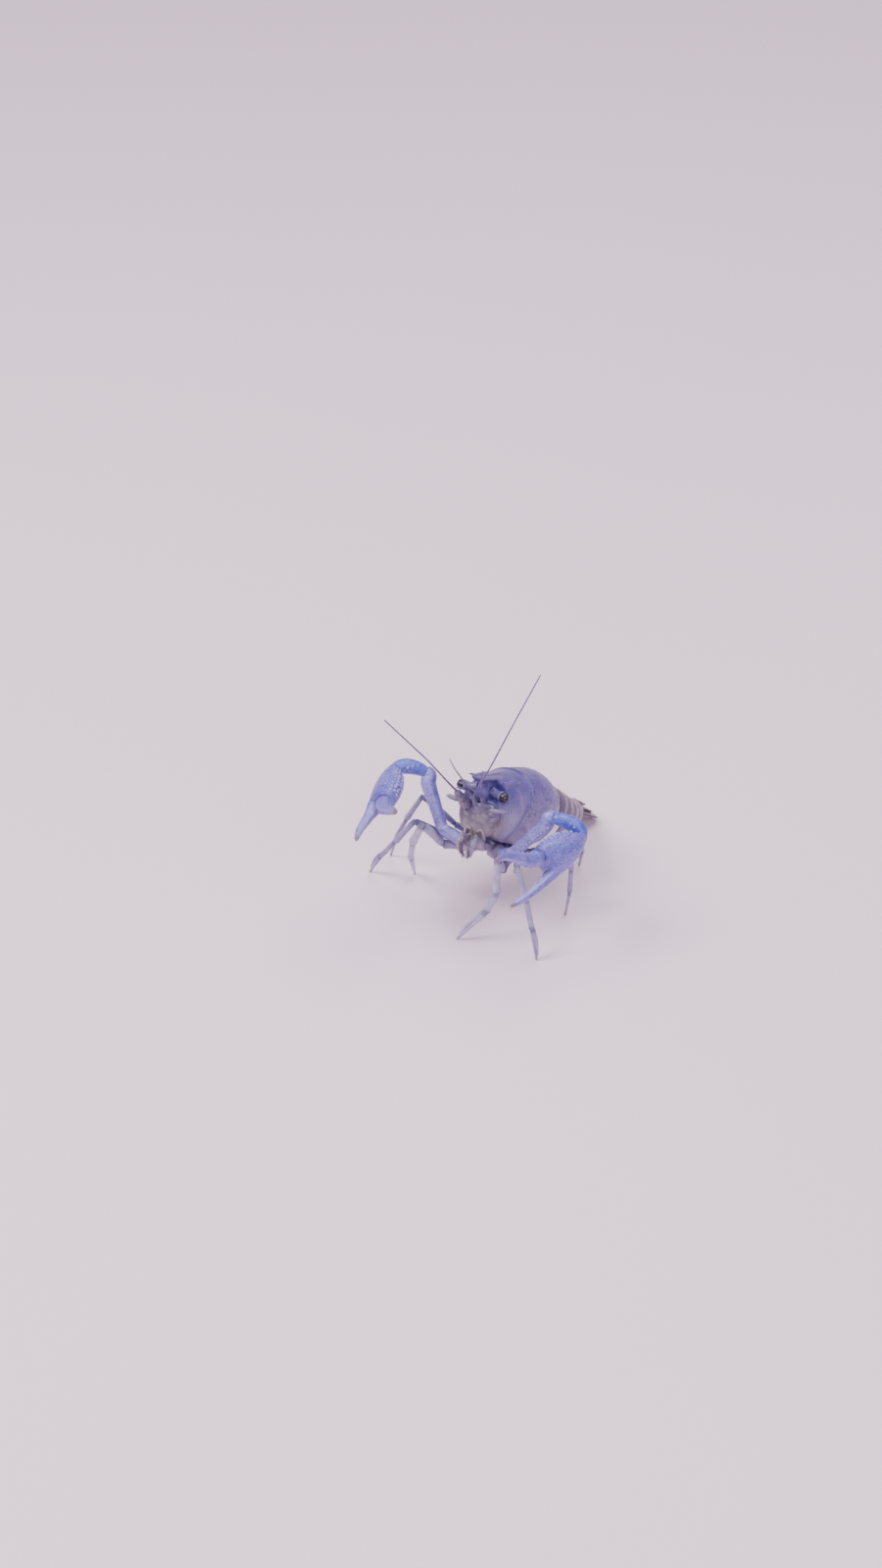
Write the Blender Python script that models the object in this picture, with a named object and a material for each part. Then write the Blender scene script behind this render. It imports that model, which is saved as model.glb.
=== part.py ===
# An Everglades crayfish at life size, standing with both claws raised.
# Lengths below are in millimetres and angles in degrees. MM turns a length into metres.
# The animal faces -Y, its left side is +X, and its feet stand on z = 0.
# Shell places are given along the shell: a forward from its rear edge, b to the left, c up.

import math
import random

import bmesh
import bpy
from mathutils import Matrix, Vector

MM = 0.001
GAP = 0.3                                # left between two pieces that touch
FRAME = Vector((-4.356, 18.265, 0.0))    # middle of the whole model's box, made the origin

# Shell attitude
NOSE_UP = 27.0
EYE_ALONG = 37.5                         # a and c of the point midway between the eyes
EYE_ABOVE = 4.0
EYE_PLACE = Vector((0.0, 4.1, 45.0))
FORWARD = Vector((0.0, -math.cos(math.radians(NOSE_UP)), math.sin(math.radians(NOSE_UP))))
UPWARD = Vector((0.0, math.sin(math.radians(NOSE_UP)), math.cos(math.radians(NOSE_UP))))
LEFT = Vector((1.0, 0.0, 0.0))
HANDS = {"left": 1, "right": -1}

# Shell sections: a, half width, height of the back, height of the lower edge
SHELL = (
    (0.0, 8.0, 6.1, -6.2),
    (3.0, 9.6, 8.0, -8.8),
    (7.0, 10.5, 9.6, -10.4),
    (12.0, 10.8, 10.2, -11.0),
    (18.0, 10.5, 10.1, -11.1),
    (24.0, 9.8, 9.8, -10.8),
    (30.0, 8.6, 9.3, -9.8),
    (34.0, 7.5, 8.9, -8.4),
    (37.0, 6.5, 8.7, -6.8),
)
SHELL_WIDEST = -1.6                      # height at which the shell is widest
SHELL_TUCK = 2.2                         # how far the round lower edge would go past its flat
NECK_GROOVE = ((0, 20.6), (35, 21.2), (60, 23.0), (90, 26.4), (120, 29.0), (150, 30.0), (180, 30.2))
HEAD_RIM = ((0, 36.6), (25, 35.4), (48, 33.8), (66, 34.6), (82, 36.0), (110, 35.2), (180, 34.0))
REAR_RIM = ((0, 0.4), (20, 0.0), (100, 0.0), (140, 1.2), (180, 3.0))
SHELL_SIDES = 32

# Tail: each ring's length, slope below level, turn to the animal's right
TAIL_LENGTHS = (3.3, 5.1, 5.1, 5.1, 5.1, 5.8)
TAIL_SLOPES = (36.0, 43.0, 45.0, 44.0, 40.0, 35.0)
TAIL_TURNS = (0.0, 2.0, 4.0, 7.0, 10.0, 13.0)
TAIL_HALF_WIDTHS = (7.1, 8.2, 8.1, 7.8, 7.2, 6.3)
TAIL_HEIGHTS = (5.9, 6.7, 6.5, 6.1, 5.5, 4.7)
TAIL_LOBES = (1.2, 3.6, 3.3, 3.0, 2.6, 1.5)
TAIL_SWELL = (  # share of a ring's length, swell of its section, how far its side lobes hang
    (0.0, 0.90, 0.25), (0.12, 0.95, 0.5), (0.4, 1.0, 1.0), (0.7, 1.01, 0.95), (0.9, 1.01, 0.6),
    (1.0, 0.99, 0.35),
)
FAN_SLOPE = 38.0
FAN_TURN = 15.0

# Claws: start of the wrist, of the palm, and the two finger tips
CLAW_ALONG = 28.5
ARM_ELBOW = {"left": Vector((10.1, 3.2, 26.9)), "right": Vector((-14.0, 4.6, 27.0))}
ARM_END = {"left": Vector((21.9, 7.7, 40.8)), "right": Vector((-22.2, 8.3, 42.2))}
WRIST_END = {"left": Vector((30.3, 8.8, 36.6)), "right": Vector((-28.6, 1.8, 44.7))}
FIXED_TIP = {"left": Vector((27.3, -27.5, 32.2)), "right": Vector((-20.7, -33.0, 41.8))}
MOVING_TIP = {"left": Vector((21.0, -24.9, 44.1)), "right": Vector((-11.2, -27.4, 51.2))}
PALM_SPREAD = {"left": 2.0, "right": 0.0}   # how far a palm stands out towards its moving finger
FINGER_BROAD = {"left": 1.16, "right": 1.1}
WRIST_SHARE = 0.36                       # how far the palm's cut turns towards the wrist's own length
ARM_SHARE = 0.6                          # how far the arm's cut turns towards it

# Walking legs, front to rear: a of the hip, then the path to the knee and from it to the foot
LEG_HIPS = (24.0, 19.5, 15.0, 10.5)
LEG_PATHS = {
    "left": (
        (((7.4, 6.7, 21.2), (8.5, 0.7, 22.3), (9.3, -3.4, 28.0)),
         ((10.1, -5.1, 17.9), (7.1, -6.1, 10.8), (-1.0, -9.0, 0.3))),
        (((8.6, 10.4, 19.5), (12.5, 2.7, 21.8), (15.7, -3.1, 28.5)),
         ((20.0, -5.1, 19.0), (22.5, -5.9, 9.9), (24.5, -6.4, 0.3))),
        (((8.6, 19.4, 17.2), (14.1, 19.2, 19.5), (21.1, 17.9, 27.0)),
         ((22.1, 18.0, 17.0), (21.6, 18.3, 8.7), (20.2, 18.3, 0.3))),
        (((7.6, 25.8, 15.2), (10.9, 27.8, 18.4), (15.0, 30.0, 26.5)),
         ((15.8, 34.9, 16.8), (13.9, 39.8, 8.5), (10.7, 44.0, 0.3))),
    ),
    "right": (
        (((-8.9, 8.1, 20.2), (-13.5, 4.1, 22.1), (-18.5, 0.7, 28.8)),
         ((-23.7, 3.6, 19.5), (-27.3, 8.4, 10.3), (-29.5, 14.5, 0.3))),
        (((-9.4, 12.5, 19.1), (-14.6, 8.9, 21.4), (-22.6, 3.1, 27.5)),
         ((-29.7, 3.5, 17.9), (-36.2, 5.8, 9.2), (-41.6, 8.7, 0.3))),
        (((-9.9, 17.5, 17.7), (-15.7, 14.9, 22.3), (-25.1, 12.0, 30.5)),
         ((-31.3, 12.9, 20.2), (-36.9, 16.1, 10.1), (-40.9, 19.5, 0.3))),
        (((-9.2, 26.0, 15.2), (-12.1, 29.3, 17.7), (-16.0, 33.3, 24.0)),
         ((-21.0, 38.9, 15.4), (-25.1, 44.9, 7.8), (-27.9, 50.0, 0.3))),
    ),
}
LEG_THICKNESS = (1.25, 1.0, 0.9, 0.9)    # radius of the long upper piece, front leg to rear leg

# Face blocks: a, half width, middle height, half height
FACE_ROWS = ((31.0, 5.8, -1.6, 4.0), (35.6, 5.9, -1.6, 4.0), (36.4, 5.6, -1.6, 3.7), (36.7, 4.8, -1.6, 3.2))
BRIDGE_ROWS = ((31.0, 2.1, 4.2, 3.4), (37.6, 2.1, 4.6, 3.2), (38.3, 1.6, 5.2, 2.4))
MOUTH_ROWS = ((31.2, 4.0, -5.6, 3.4), (34.6, 5.3, -5.9, 4.1), (36.2, 4.6, -5.8, 3.6), (36.9, 3.2, -5.6, 2.4))

# Beak: a, half width, height of its raised margins
ROSTRUM_ROWS = (
    (30.0, 3.3, 8.7), (34.0, 3.1, 9.2), (37.5, 2.8, 9.2), (41.0, 2.3, 9.0),
    (43.6, 1.8, 8.9), (45.2, 0.9, 8.9), (47.2, 0.15, 9.3),
)

# The ridge behind each eye: a and radius. Each broad mouth leg: a, b, c
EYE_RIDGE = ((25.5, 0.25), (28.0, 0.6), (31.0, 0.65), (33.4, 0.55))
MOUTH_LEG = (
    (35.6, 2.4, -12.1), (39.3, 2.4, -10.0), (40.4, 2.1, -11.8), (39.8, 1.8, -13.9), (38.2, 1.3, -15.5),
)

# Feelers
ANTENNA_ROOT = (37.1, 4.4, -0.9)         # a, b, c on the face
ANTENNA_KNEE = {"left": Vector((3.6, -5.5, 46.5)), "right": Vector((-4.9, -2.8, 47.2))}
ANTENNA_PATH = {
    "left": ((3.8, -7.3, 51.6), (9.4, -7.6, 63.2), (16.0, -6.0, 79.0), (22.9, -3.5, 95.6)),
    "right": ((-5.7, -7.2, 53.0), (-7.4, -15.0, 63.6), (-9.3, -24.0, 74.8), (-11.0, -32.8, 85.6)),
}
ANTENNULE_PATH = {
    "left": (((2.9, -2.0, 49.8), (4.4, -4.6, 55.4), (6.6, -7.4, 60.6)),
             ((2.0, -3.6, 49.6), (1.6, -8.2, 54.4), (1.8, -13.6, 58.6))),
    "right": (((-2.4, -2.4, 50.8), (-3.5, -5.8, 56.6), (-3.9, -8.6, 61.8)),
              ((-1.2, -4.0, 49.4), (-0.2, -9.2, 53.6), (1.2, -14.6, 56.6))),
}

BLUE = (0.17, 0.19, 0.42)
PALE_BLUE = (0.42, 0.45, 0.68)
SLATE = (0.22, 0.22, 0.30)
VIOLET = (0.20, 0.17, 0.36)
BLACK = (0.02, 0.02, 0.03)


def clear_scene():
    for thing in list(bpy.data.objects):
        bpy.data.objects.remove(thing, do_unlink=True)


def collection(name):
    made = bpy.data.collections.new(name)
    bpy.context.scene.collection.children.link(made)
    return made


clear_scene()
BODY = collection("everglades_crayfish")
JOINED = collection("pieces_to_join")


def material(name, colour, roughness):
    made = bpy.data.materials.new(name)
    made.use_nodes = True
    shader = made.node_tree.nodes["Principled BSDF"]
    shader.inputs["Base Color"].default_value = (*colour, 1.0)
    shader.inputs["Roughness"].default_value = roughness
    shader.inputs["Metallic"].default_value = 0.0
    return made


SHELL_BLUE = material("shell_blue", BLUE, 0.35)
CLAW_BLUE = material("claw_blue", PALE_BLUE, 0.4)
LEG_GREY = material("leg_grey", SLATE, 0.45)
TAIL_VIOLET = material("tail_violet", VIOLET, 0.4)
EYE_BLACK = material("eye_black", BLACK, 0.15)


def on_shell(a, b, c):
    """The place of a point given along, across and above the shell."""
    return EYE_PLACE + FORWARD * (a - EYE_ALONG) + LEFT * b + UPWARD * (c - EYE_ABOVE)


def smooth(table, x, column=1):
    """A value read from rows (x, value, ...) on a smooth curve through them."""
    if x <= table[0][0]:
        return table[0][column]
    if x >= table[-1][0]:
        return table[-1][column]
    at = max(i for i in range(len(table) - 1) if table[i][0] <= x)
    low, high = table[at], table[at + 1]

    def slope(i):
        before, after = table[max(i - 1, 0)], table[min(i + 1, len(table) - 1)]
        return (after[column] - before[column]) / (after[0] - before[0])

    span = high[0] - low[0]
    t = (x - low[0]) / span
    return (
        (2 * t**3 - 3 * t**2 + 1) * low[column]
        + (t**3 - 2 * t**2 + t) * span * slope(at)
        + (3 * t**2 - 2 * t**3) * high[column]
        + (t**3 - t**2) * span * slope(at + 1)
    )


def rounded(value, power):
    return math.copysign(abs(value) ** (2.0 / power), value)


def finish(thing, look, home=None):
    thing.data.materials.clear()
    thing.data.materials.append(look)
    thing.data.shade_smooth()
    thing.data.set_sharp_from_angle(angle=math.radians(40))
    (home or BODY).objects.link(thing)
    return thing


def loft(name, rings, look, home=None, middles=(None, None)):
    """A closed skin over rings of points. A middle closes an end that is not flat."""
    work = bmesh.new()
    loops = [[work.verts.new((p - FRAME) * MM) for p in ring] for ring in rings]
    count = len(rings[0])
    for one, two in zip(loops, loops[1:]):
        for i in range(count):
            j = (i + 1) % count
            work.faces.new((one[i], one[j], two[j]))
            work.faces.new((one[i], two[j], two[i]))
    for end, middle in ((loops[0], middles[0]), (loops[-1], middles[1])):
        if middle is None:
            work.faces.new(end)
            continue
        hub = work.verts.new((middle - FRAME) * MM)
        for i in range(count):
            work.faces.new((end[i], end[(i + 1) % count], hub))
    bmesh.ops.triangulate(work, faces=work.faces, ngon_method="EAR_CLIP")
    bmesh.ops.recalc_face_normals(work, faces=work.faces)
    if work.calc_volume(signed=True) < 0:
        bmesh.ops.reverse_faces(work, faces=work.faces)
    mesh = bpy.data.meshes.new(name)
    work.to_mesh(mesh)
    work.free()
    return finish(bpy.data.objects.new(name, mesh), look, home)


def tube(name, stations, look, home=None, roundness=3):
    """A round tapered tube through stations (place, radius), made as a bevelled curve."""
    curve = bpy.data.curves.new(name, "CURVE")
    curve.dimensions = "3D"
    curve.bevel_depth = MM
    curve.bevel_resolution = roundness
    curve.use_fill_caps = True
    line = curve.splines.new("POLY")
    line.points.add(len(stations) - 1)
    for point, (place, radius) in zip(line.points, stations):
        point.co = (*((place - FRAME) * MM), 1.0)
        point.radius = radius
    guide = bpy.data.objects.new(name + "_curve", curve)
    BODY.objects.link(guide)
    seen = guide.evaluated_get(bpy.context.evaluated_depsgraph_get())
    mesh = bpy.data.meshes.new_from_object(seen)
    mesh.name = name
    work = bmesh.new()
    work.from_mesh(mesh)
    bmesh.ops.remove_doubles(work, verts=work.verts, dist=0.002 * MM)
    bmesh.ops.triangulate(work, faces=work.faces)
    bmesh.ops.recalc_face_normals(work, faces=work.faces)
    work.to_mesh(mesh)
    work.free()
    thing = bpy.data.objects.new(name, mesh)
    thing.matrix_world = guide.matrix_world
    bpy.data.objects.remove(guide, do_unlink=True)
    bpy.data.curves.remove(curve)
    return finish(thing, look, home)


def cone(place, along, radius, tip_radius, height, sides=6):
    """A small spine or tubercle, to be joined. Its root sinks below its place."""
    work = bmesh.new()
    bmesh.ops.create_cone(
        work, cap_ends=True, cap_tris=True, segments=sides,
        radius1=radius * MM, radius2=tip_radius * MM, depth=height * MM,
    )
    mesh = bpy.data.meshes.new("spine")
    work.to_mesh(mesh)
    work.free()
    thing = bpy.data.objects.new("spine", mesh)
    turn = along.to_track_quat("Z", "Y").to_matrix().to_4x4()
    thing.matrix_world = Matrix.Translation((place - FRAME) * MM) @ turn
    JOINED.objects.link(thing)
    return thing


def join(thing, solver="MANIFOLD"):
    """Fuses all that waits in JOINED to a piece, and keeps the largest closed surface."""
    if not JOINED.objects:
        return thing
    fuse = thing.modifiers.new("fuse", "BOOLEAN")
    fuse.operation = "UNION"
    fuse.operand_type = "COLLECTION"
    fuse.collection = JOINED
    fuse.solver = solver
    seen = thing.evaluated_get(bpy.context.evaluated_depsgraph_get())
    mesh = bpy.data.meshes.new_from_object(seen)
    thing.modifiers.remove(fuse)
    old = thing.data
    mesh.name = old.name
    thing.data = mesh
    bpy.data.meshes.remove(old)
    for piece in list(JOINED.objects):
        bpy.data.objects.remove(piece, do_unlink=True)
    keep_largest(thing)
    return thing


def keep_largest(thing):
    work = bmesh.new()
    work.from_mesh(thing.data)
    bmesh.ops.triangulate(work, faces=work.faces)
    work.verts.ensure_lookup_table()
    groups = []
    seen = set()
    for start in work.verts:
        if start in seen:
            continue
        group = {start}
        front = [start]
        while front:
            vertex = front.pop()
            for edge in vertex.link_edges:
                other = edge.other_vert(vertex)
                if other not in group:
                    group.add(other)
                    front.append(other)
        seen |= group
        groups.append(group)
    largest = max(groups, key=len)
    loose = [v for v in work.verts if v not in largest]
    bmesh.ops.delete(work, geom=loose, context="VERTS")
    work.to_mesh(thing.data)
    work.free()


def flatten_foot(thing):
    """Whatever would reach below the floor ends in a small flat on it."""
    for vertex in thing.data.vertices:
        vertex.co.z = max(vertex.co.z, 0.0)


def bend_plane(before, corner, after):
    """The direction square to the cut where two lengths of a limb meet."""
    return ((corner - before).normalized() + (after - corner).normalized()).normalized()


def ring(centre, along, side, half_width, half_height, power=2.3, sides=16):
    """A rounded section square to along, with side pointing across it."""
    across = (side - along * side.dot(along)).normalized()
    over = along.cross(across).normalized()
    points = []
    for i in range(sides):
        turn = 2 * math.pi * i / sides
        points.append(
            centre
            + across * (half_width * rounded(math.cos(turn), power))
            + over * (half_height * rounded(math.sin(turn), power))
        )
    return points


# Shell of head and thorax

def shell_point(a, turn):
    """A point of the shell, turn degrees from the back's middle line, left positive."""
    half = smooth(SHELL, a, 1)
    back = smooth(SHELL, a, 2)
    edge = smooth(SHELL, a, 3)
    s = math.sin(math.radians(turn))
    k = math.cos(math.radians(turn))
    if k >= 0:
        b = half * rounded(s, 2.15)
        c = SHELL_WIDEST + (back - SHELL_WIDEST) * rounded(k, 2.0)
    else:
        b = half * rounded(s, 2.4)
        c = SHELL_WIDEST + (SHELL_WIDEST - edge + SHELL_TUCK) * rounded(k, 2.4)
        c = max(c, edge)
    return on_shell(a, b, c)


def shell_normal(a, turn):
    along = shell_point(a + 0.5, turn) - shell_point(a - 0.5, turn)
    across = shell_point(a, turn + 2) - shell_point(a, turn - 2)
    return across.cross(along).normalized()


def shell_rings(rear_rim, front_rim, steps, rear_gap=0.0, front_gap=0.0):
    rings = []
    for step in steps:
        points = []
        for i in range(SHELL_SIDES):
            turn = -180 + 360 * i / SHELL_SIDES
            start = smooth(rear_rim, abs(turn)) + rear_gap
            end = smooth(front_rim, abs(turn)) - front_gap
            points.append(shell_point(start + (end - start) * step, turn))
        rings.append(points)
    return rings


def make_thorax():
    steps = (0.0, 0.06, 0.16, 0.32, 0.5, 0.68, 0.84, 0.95, 1.0)
    rings = shell_rings(REAR_RIM, NECK_GROOVE, steps, front_gap=GAP / 2)
    rings[-1] = [p + (on_shell(24, 0, 0) - p) * 0.045 for p in rings[-1]]
    middle = on_shell(24.0 - GAP / 2, 0, 1.0)
    thorax = loft("thorax_shell", rings, SHELL_BLUE, middles=(on_shell(0.2, 0, 1.0), middle))
    for hand in HANDS.values():
        place = shell_point(23.2, hand * 72)
        out = shell_normal(23.2, hand * 72)
        cone(place + out * 0.4, out + FORWARD * 0.9, 0.75, 0.1, 2.6)
    return join(thorax)


def block_rings(rows, power, sides):
    """Rounded sections square to the shell's length, for the blocks of the face."""
    rings = []
    for a, half_width, middle, half_height in rows:
        points = []
        for i in range(sides):
            turn = 2 * math.pi * i / sides
            b = half_width * rounded(math.cos(turn), power)
            c = middle + half_height * rounded(math.sin(turn), power)
            points.append(on_shell(a, b, c))
        rings.append(points)
    return rings


def make_head():
    steps = (0.0, 0.06, 0.2, 0.45, 0.7, 0.88, 1.0)
    rings = shell_rings(NECK_GROOVE, HEAD_RIM, steps, rear_gap=GAP / 2)
    rings[0] = [p + (on_shell(24, 0, 0) - p) * 0.045 for p in rings[0]]
    rear = on_shell(24.0 + GAP / 2, 0, 1.0)
    head = loft("head_shell", rings, SHELL_BLUE, middles=(rear, on_shell(33.6, 0, 1.0)))
    loft("face_block", block_rings(FACE_ROWS, 2.6, 16), SHELL_BLUE, JOINED)
    loft("eye_bridge", block_rings(BRIDGE_ROWS, 3.0, 12), SHELL_BLUE, JOINED)
    loft("mouth_block", block_rings(MOUTH_ROWS, 2.0, 12), SHELL_BLUE, JOINED)
    make_rostrum()
    for hand in HANDS.values():
        ridge = [(shell_point(a, hand * 33), r) for a, r in EYE_RIDGE]
        ridge.append((shell_point(33.4, hand * 33) + FORWARD * 1.6 + UPWARD * 0.4, 0.12))
        tube("eye_ridge", ridge, SHELL_BLUE, JOINED, roundness=1)
    return join(head)


def make_rostrum():
    """The beak over the eyes: raised margins, a hollow middle, two side spines and a tip."""
    rings = []
    for a, half, top in ROSTRUM_ROWS:
        deep = 0.62 * half + 0.15
        rim = min(0.5, 0.3 * half)
        rings.append([
            on_shell(a, half, top - 0.3 * rim),
            on_shell(a, half * 0.72, top),
            on_shell(a, 0.0, top - rim),
            on_shell(a, -half * 0.72, top),
            on_shell(a, -half, top - 0.3 * rim),
            on_shell(a, -half * 0.6, top - 0.75 * deep - rim),
            on_shell(a, 0.0, top - deep - rim),
            on_shell(a, half * 0.6, top - 0.75 * deep - rim),
        ])
    loft("rostrum", rings, SHELL_BLUE, JOINED)
    for hand in HANDS.values():
        along = FORWARD + LEFT * hand * 0.35 + UPWARD * 0.15
        cone(on_shell(43.9, hand * 1.75, 8.8), along, 0.5, 0.08, 2.4)


def hip(a, hand, across, down):
    return on_shell(a, hand * across, down)


def hip_points(index, hand):
    """Inner point, root and the cut's direction where a claw arm or leg leaves the chest."""
    if index == 0:
        inner = hip(CLAW_ALONG, hand, 2.6, -13.0)
        root = hip(CLAW_ALONG, hand, 6.0, -13.4)
        after = ARM_ELBOW["left" if hand > 0 else "right"]
    else:
        inner = hip(LEG_HIPS[index - 1], hand, 2.6, -12.8)
        root = hip(LEG_HIPS[index - 1], hand, 5.6, -13.8)
        after = Vector(LEG_PATHS["left" if hand > 0 else "right"][index - 1][0][0])
    return inner, root, bend_plane(inner, root, after)


def make_chest():
    rows = ((6.5, 3.0), (10.0, 3.8), (16.0, 4.3), (22.0, 4.5), (27.0, 4.5), (30.4, 3.6))
    rings = []
    for a, half in rows:
        top = smooth(SHELL, a, 3) - GAP
        low = -13.6 if a < 28 else -13.0
        middle = (top + low) / 2
        high = (top - low) / 2
        rings.append([
            on_shell(a, half * rounded(math.cos(t), 3.4), middle + high * rounded(math.sin(t), 3.4))
            for t in (2 * math.pi * i / 12 for i in range(12))
        ])
    chest = loft("chest", rings, LEG_GREY)
    for hand in HANDS.values():
        for index in range(5):
            inner, root, cut = hip_points(index, hand)
            radius = 2.5 if index == 0 else 1.8
            end = root - cut * GAP / 2
            stations = [(inner, radius), (root - cut * 1.2, radius), (end, radius * 0.94)]
            tube("hip", stations, LEG_GREY, JOINED, roundness=2)
        inner, root, cut = mouth_leg_points(hand)
        stations = [(inner, 1.2), (root - cut * 0.8, 1.3), (root - cut * GAP / 2, 1.2)]
        tube("hip", stations, LEG_GREY, JOINED, roundness=1)
    return join(chest)


# Mouth legs

def mouth_leg_path(hand):
    return [on_shell(a, hand * b, c) for a, b, c in MOUTH_LEG]


def mouth_leg_points(hand):
    inner = on_shell(29.4, hand * 1.9, -11.9)
    root = on_shell(31.4, hand * 2.4, -12.2)
    return inner, root, bend_plane(inner, root, mouth_leg_path(hand)[0])


def make_mouth_leg(name, hand):
    root, cut = mouth_leg_points(hand)[1:]
    path = mouth_leg_path(hand)
    stations = [(root + cut * GAP / 2, 1.2), (root + cut * 1.2, 1.45), (root.lerp(path[0], 0.6), 1.7)]
    stations += [(path[0], 1.7), (path[0].lerp(path[1], 0.55), 1.65), (path[1], 1.5)]
    stations += [(path[2], 1.3), (path[3], 1.05), (path[4], 0.35)]
    return tube("mouth_leg_" + name, stations, LEG_GREY)


# Walking legs

def make_leg(name, hand, index):
    thick = LEG_THICKNESS[index]
    root, cut = hip_points(index + 1, hand)[1:]
    upper, lower = LEG_PATHS[name][index]
    first, second, knee = (Vector(p) for p in upper)
    shin, ankle, foot = (Vector(p) for p in lower)
    turn = bend_plane(second, knee, shin)
    stations = [
        (root + cut * GAP / 2, thick * 1.2), (root + cut * 1.0, thick * 1.15),
        (first, thick * 1.05), (first.lerp(second, 0.5), thick * 0.95), (second, thick),
        (second.lerp(knee, 0.45), thick),
        (knee - turn * 1.5 * thick, thick * 1.0), (knee - turn * GAP / 2, thick * 0.92),
    ]
    label = "leg_{}_{}_".format(index + 1, name)
    tube(label + "upper", stations, LEG_GREY)
    stations = [
        (knee + turn * GAP / 2, thick * 0.9), (knee + turn * 1.5 * thick, thick * 0.95),
        (knee.lerp(shin, 0.62), thick * 0.88), (shin, thick * 0.95),
        (shin.lerp(ankle, 0.3), thick * 0.85), (ankle, thick * 0.82),
        (ankle.lerp(foot, 0.35), thick * 0.55), (ankle.lerp(foot, 0.75), thick * 0.42),
        (foot, 0.42),
    ]
    leg = tube(label + "lower", stations, LEG_GREY)
    if index < 2:
        back = shin.lerp(ankle, 0.85)
        side = (foot - ankle).cross(Vector((0, 0, 1))).cross(foot - ankle).normalized()
        tip = ankle.lerp(foot, 0.86) + side * 0.75
        middle = ankle.lerp(foot, 0.4) + side * 1.15
        stations = [(back, 0.5), (ankle + side * 0.55, 0.62), (middle, 0.5), (tip, 0.2)]
        tube("pincer", stations, LEG_GREY, JOINED, roundness=1)
        join(leg)
    flatten_foot(leg)


# Claws

def claw_axes(name):
    """Along the palm to the fixed finger's tip, across to the moving finger, and its upper side."""
    start = WRIST_END[name]
    along = (FIXED_TIP[name] - start).normalized()
    spread = MOVING_TIP[name] - FIXED_TIP[name]
    across = (spread - along * spread.dot(along)).normalized()
    over = along.cross(across) * -HANDS[name]
    return start, along, across, over


def in_claw(name, s, w, t):
    start, along, across, over = claw_axes(name)
    return start + along * s + across * w + over * t


PALM_ROWS = (  # s, centre across, half width, half thickness
    (0.0, 0.0, 1.9, 1.8), (1.7, 0.1, 2.6, 2.4), (3.7, 0.2, 3.6, 3.0), (6.4, 0.3, 4.4, 3.5),
    (10.0, 0.4, 4.75, 3.7), (13.5, 0.45, 4.7, 3.5), (15.8, 0.5, 4.45, 3.2),
)
FIXED_ROWS = (
    (16.3, -2.3, 1.75, 2.5), (18.5, -2.4, 1.5, 1.95), (22.0, -2.3, 1.3, 1.55), (26.0, -1.9, 1.15, 1.3),
    (30.0, -1.25, 1.0, 1.1), (33.0, -0.7, 0.75, 0.8), (35.0, -0.2, 0.42, 0.45),
)


def palm_lift(s):
    """The claw bows a little towards its under side along its length."""
    return -1.2 * math.sin(math.pi * min(s / 30.0, 1.0))


def claw_length(name):
    return (FIXED_TIP[name] - WRIST_END[name]).length


def palm_row(name, s):
    """Centre across, half width and half thickness of the palm at a distance from the wrist."""
    out = PALM_SPREAD[name] / 2 * min(s / 13.5, 1.0)
    return smooth(PALM_ROWS, s, 1) + out, smooth(PALM_ROWS, s, 2) + out, smooth(PALM_ROWS, s, 3)


def make_palm(name):
    stretch = claw_length(name) / 35.4
    start, along, across = claw_axes(name)[:3]
    cut = wrist_cut(name, "palm")
    rings = []
    for s, lean in zip([row[0] for row in PALM_ROWS], (1.0, 0.6, 0.2, 0.0, 0.0, 0.0, 0.0)):
        w, half, thick = palm_row(name, s)
        place = in_claw(name, s, w, palm_lift(s)) if s else start + cut * GAP / 2
        rings.append(ring(place, (cut * lean + along * (1 - lean)).normalized(), across, half, thick))
    for s, w, half, thick in FIXED_ROWS:
        reach = 16.3 + (s - 16.3) * (claw_length(name) - 16.6) / 18.7
        lift = palm_lift(s)
        rings.append(ring(in_claw(name, reach, w, lift), along, across, half, thick))
    palm = loft("claw_{}_palm".format(name), rings, CLAW_BLUE)
    for s, radius in ((21.2, 0.85), (23.4, 0.65), (25.4, 0.6), (27.4, 0.5), (29.4, 0.45)):
        reach = 16.3 + (s - 16.3) * stretch
        edge = smooth(FIXED_ROWS, s, 1) + smooth(FIXED_ROWS, s, 2)
        lift = palm_lift(s)
        cone(in_claw(name, reach, edge + 0.1, lift), across, radius, radius * 0.4, 1.5)
    add_palm_bumps(name)
    return join(palm)


def add_palm_bumps(name):
    """Rows of tubercles on the palm's inner edge and fewer over its upper side."""
    draw = random.Random(7 if name == "left" else 8)
    along, across, over = claw_axes(name)[1:]
    for row, turn in enumerate((-14.0, 14.0, 38.0, 62.0, 92.0, 124.0)):
        count = 7 if row < 2 else 5
        for step in range(count):
            s = 3.0 + 11.2 / count * (step + 0.5 * (row % 2)) + draw.uniform(-0.3, 0.3)
            w, half, thick = palm_row(name, s)
            lift = palm_lift(s)
            x = rounded(math.cos(math.radians(turn)), 2.3)
            y = rounded(math.sin(math.radians(turn)), 2.3)
            out = (across * (x / half) + over * (y / thick)).normalized()
            place = in_claw(name, s, w + half * x, lift + thick * y)
            size = (0.72 if row < 2 else 0.5) * draw.uniform(0.85, 1.15)
            cone(place, out + along * 0.4, size, size * 0.35, size * 1.7, 5)


def wrist_cut(name, which):
    """Direction square to the cut before the palm, or before the wrist."""
    start, along = claw_axes(name)[:2]
    arm = (ARM_END[name] - ARM_ELBOW[name]).normalized()
    way = (start - ARM_END[name]).normalized()
    if which == "palm":
        return (way * WRIST_SHARE + along * (1 - WRIST_SHARE)).normalized()
    return (arm * (1 - ARM_SHARE) + way * ARM_SHARE).normalized()


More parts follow.
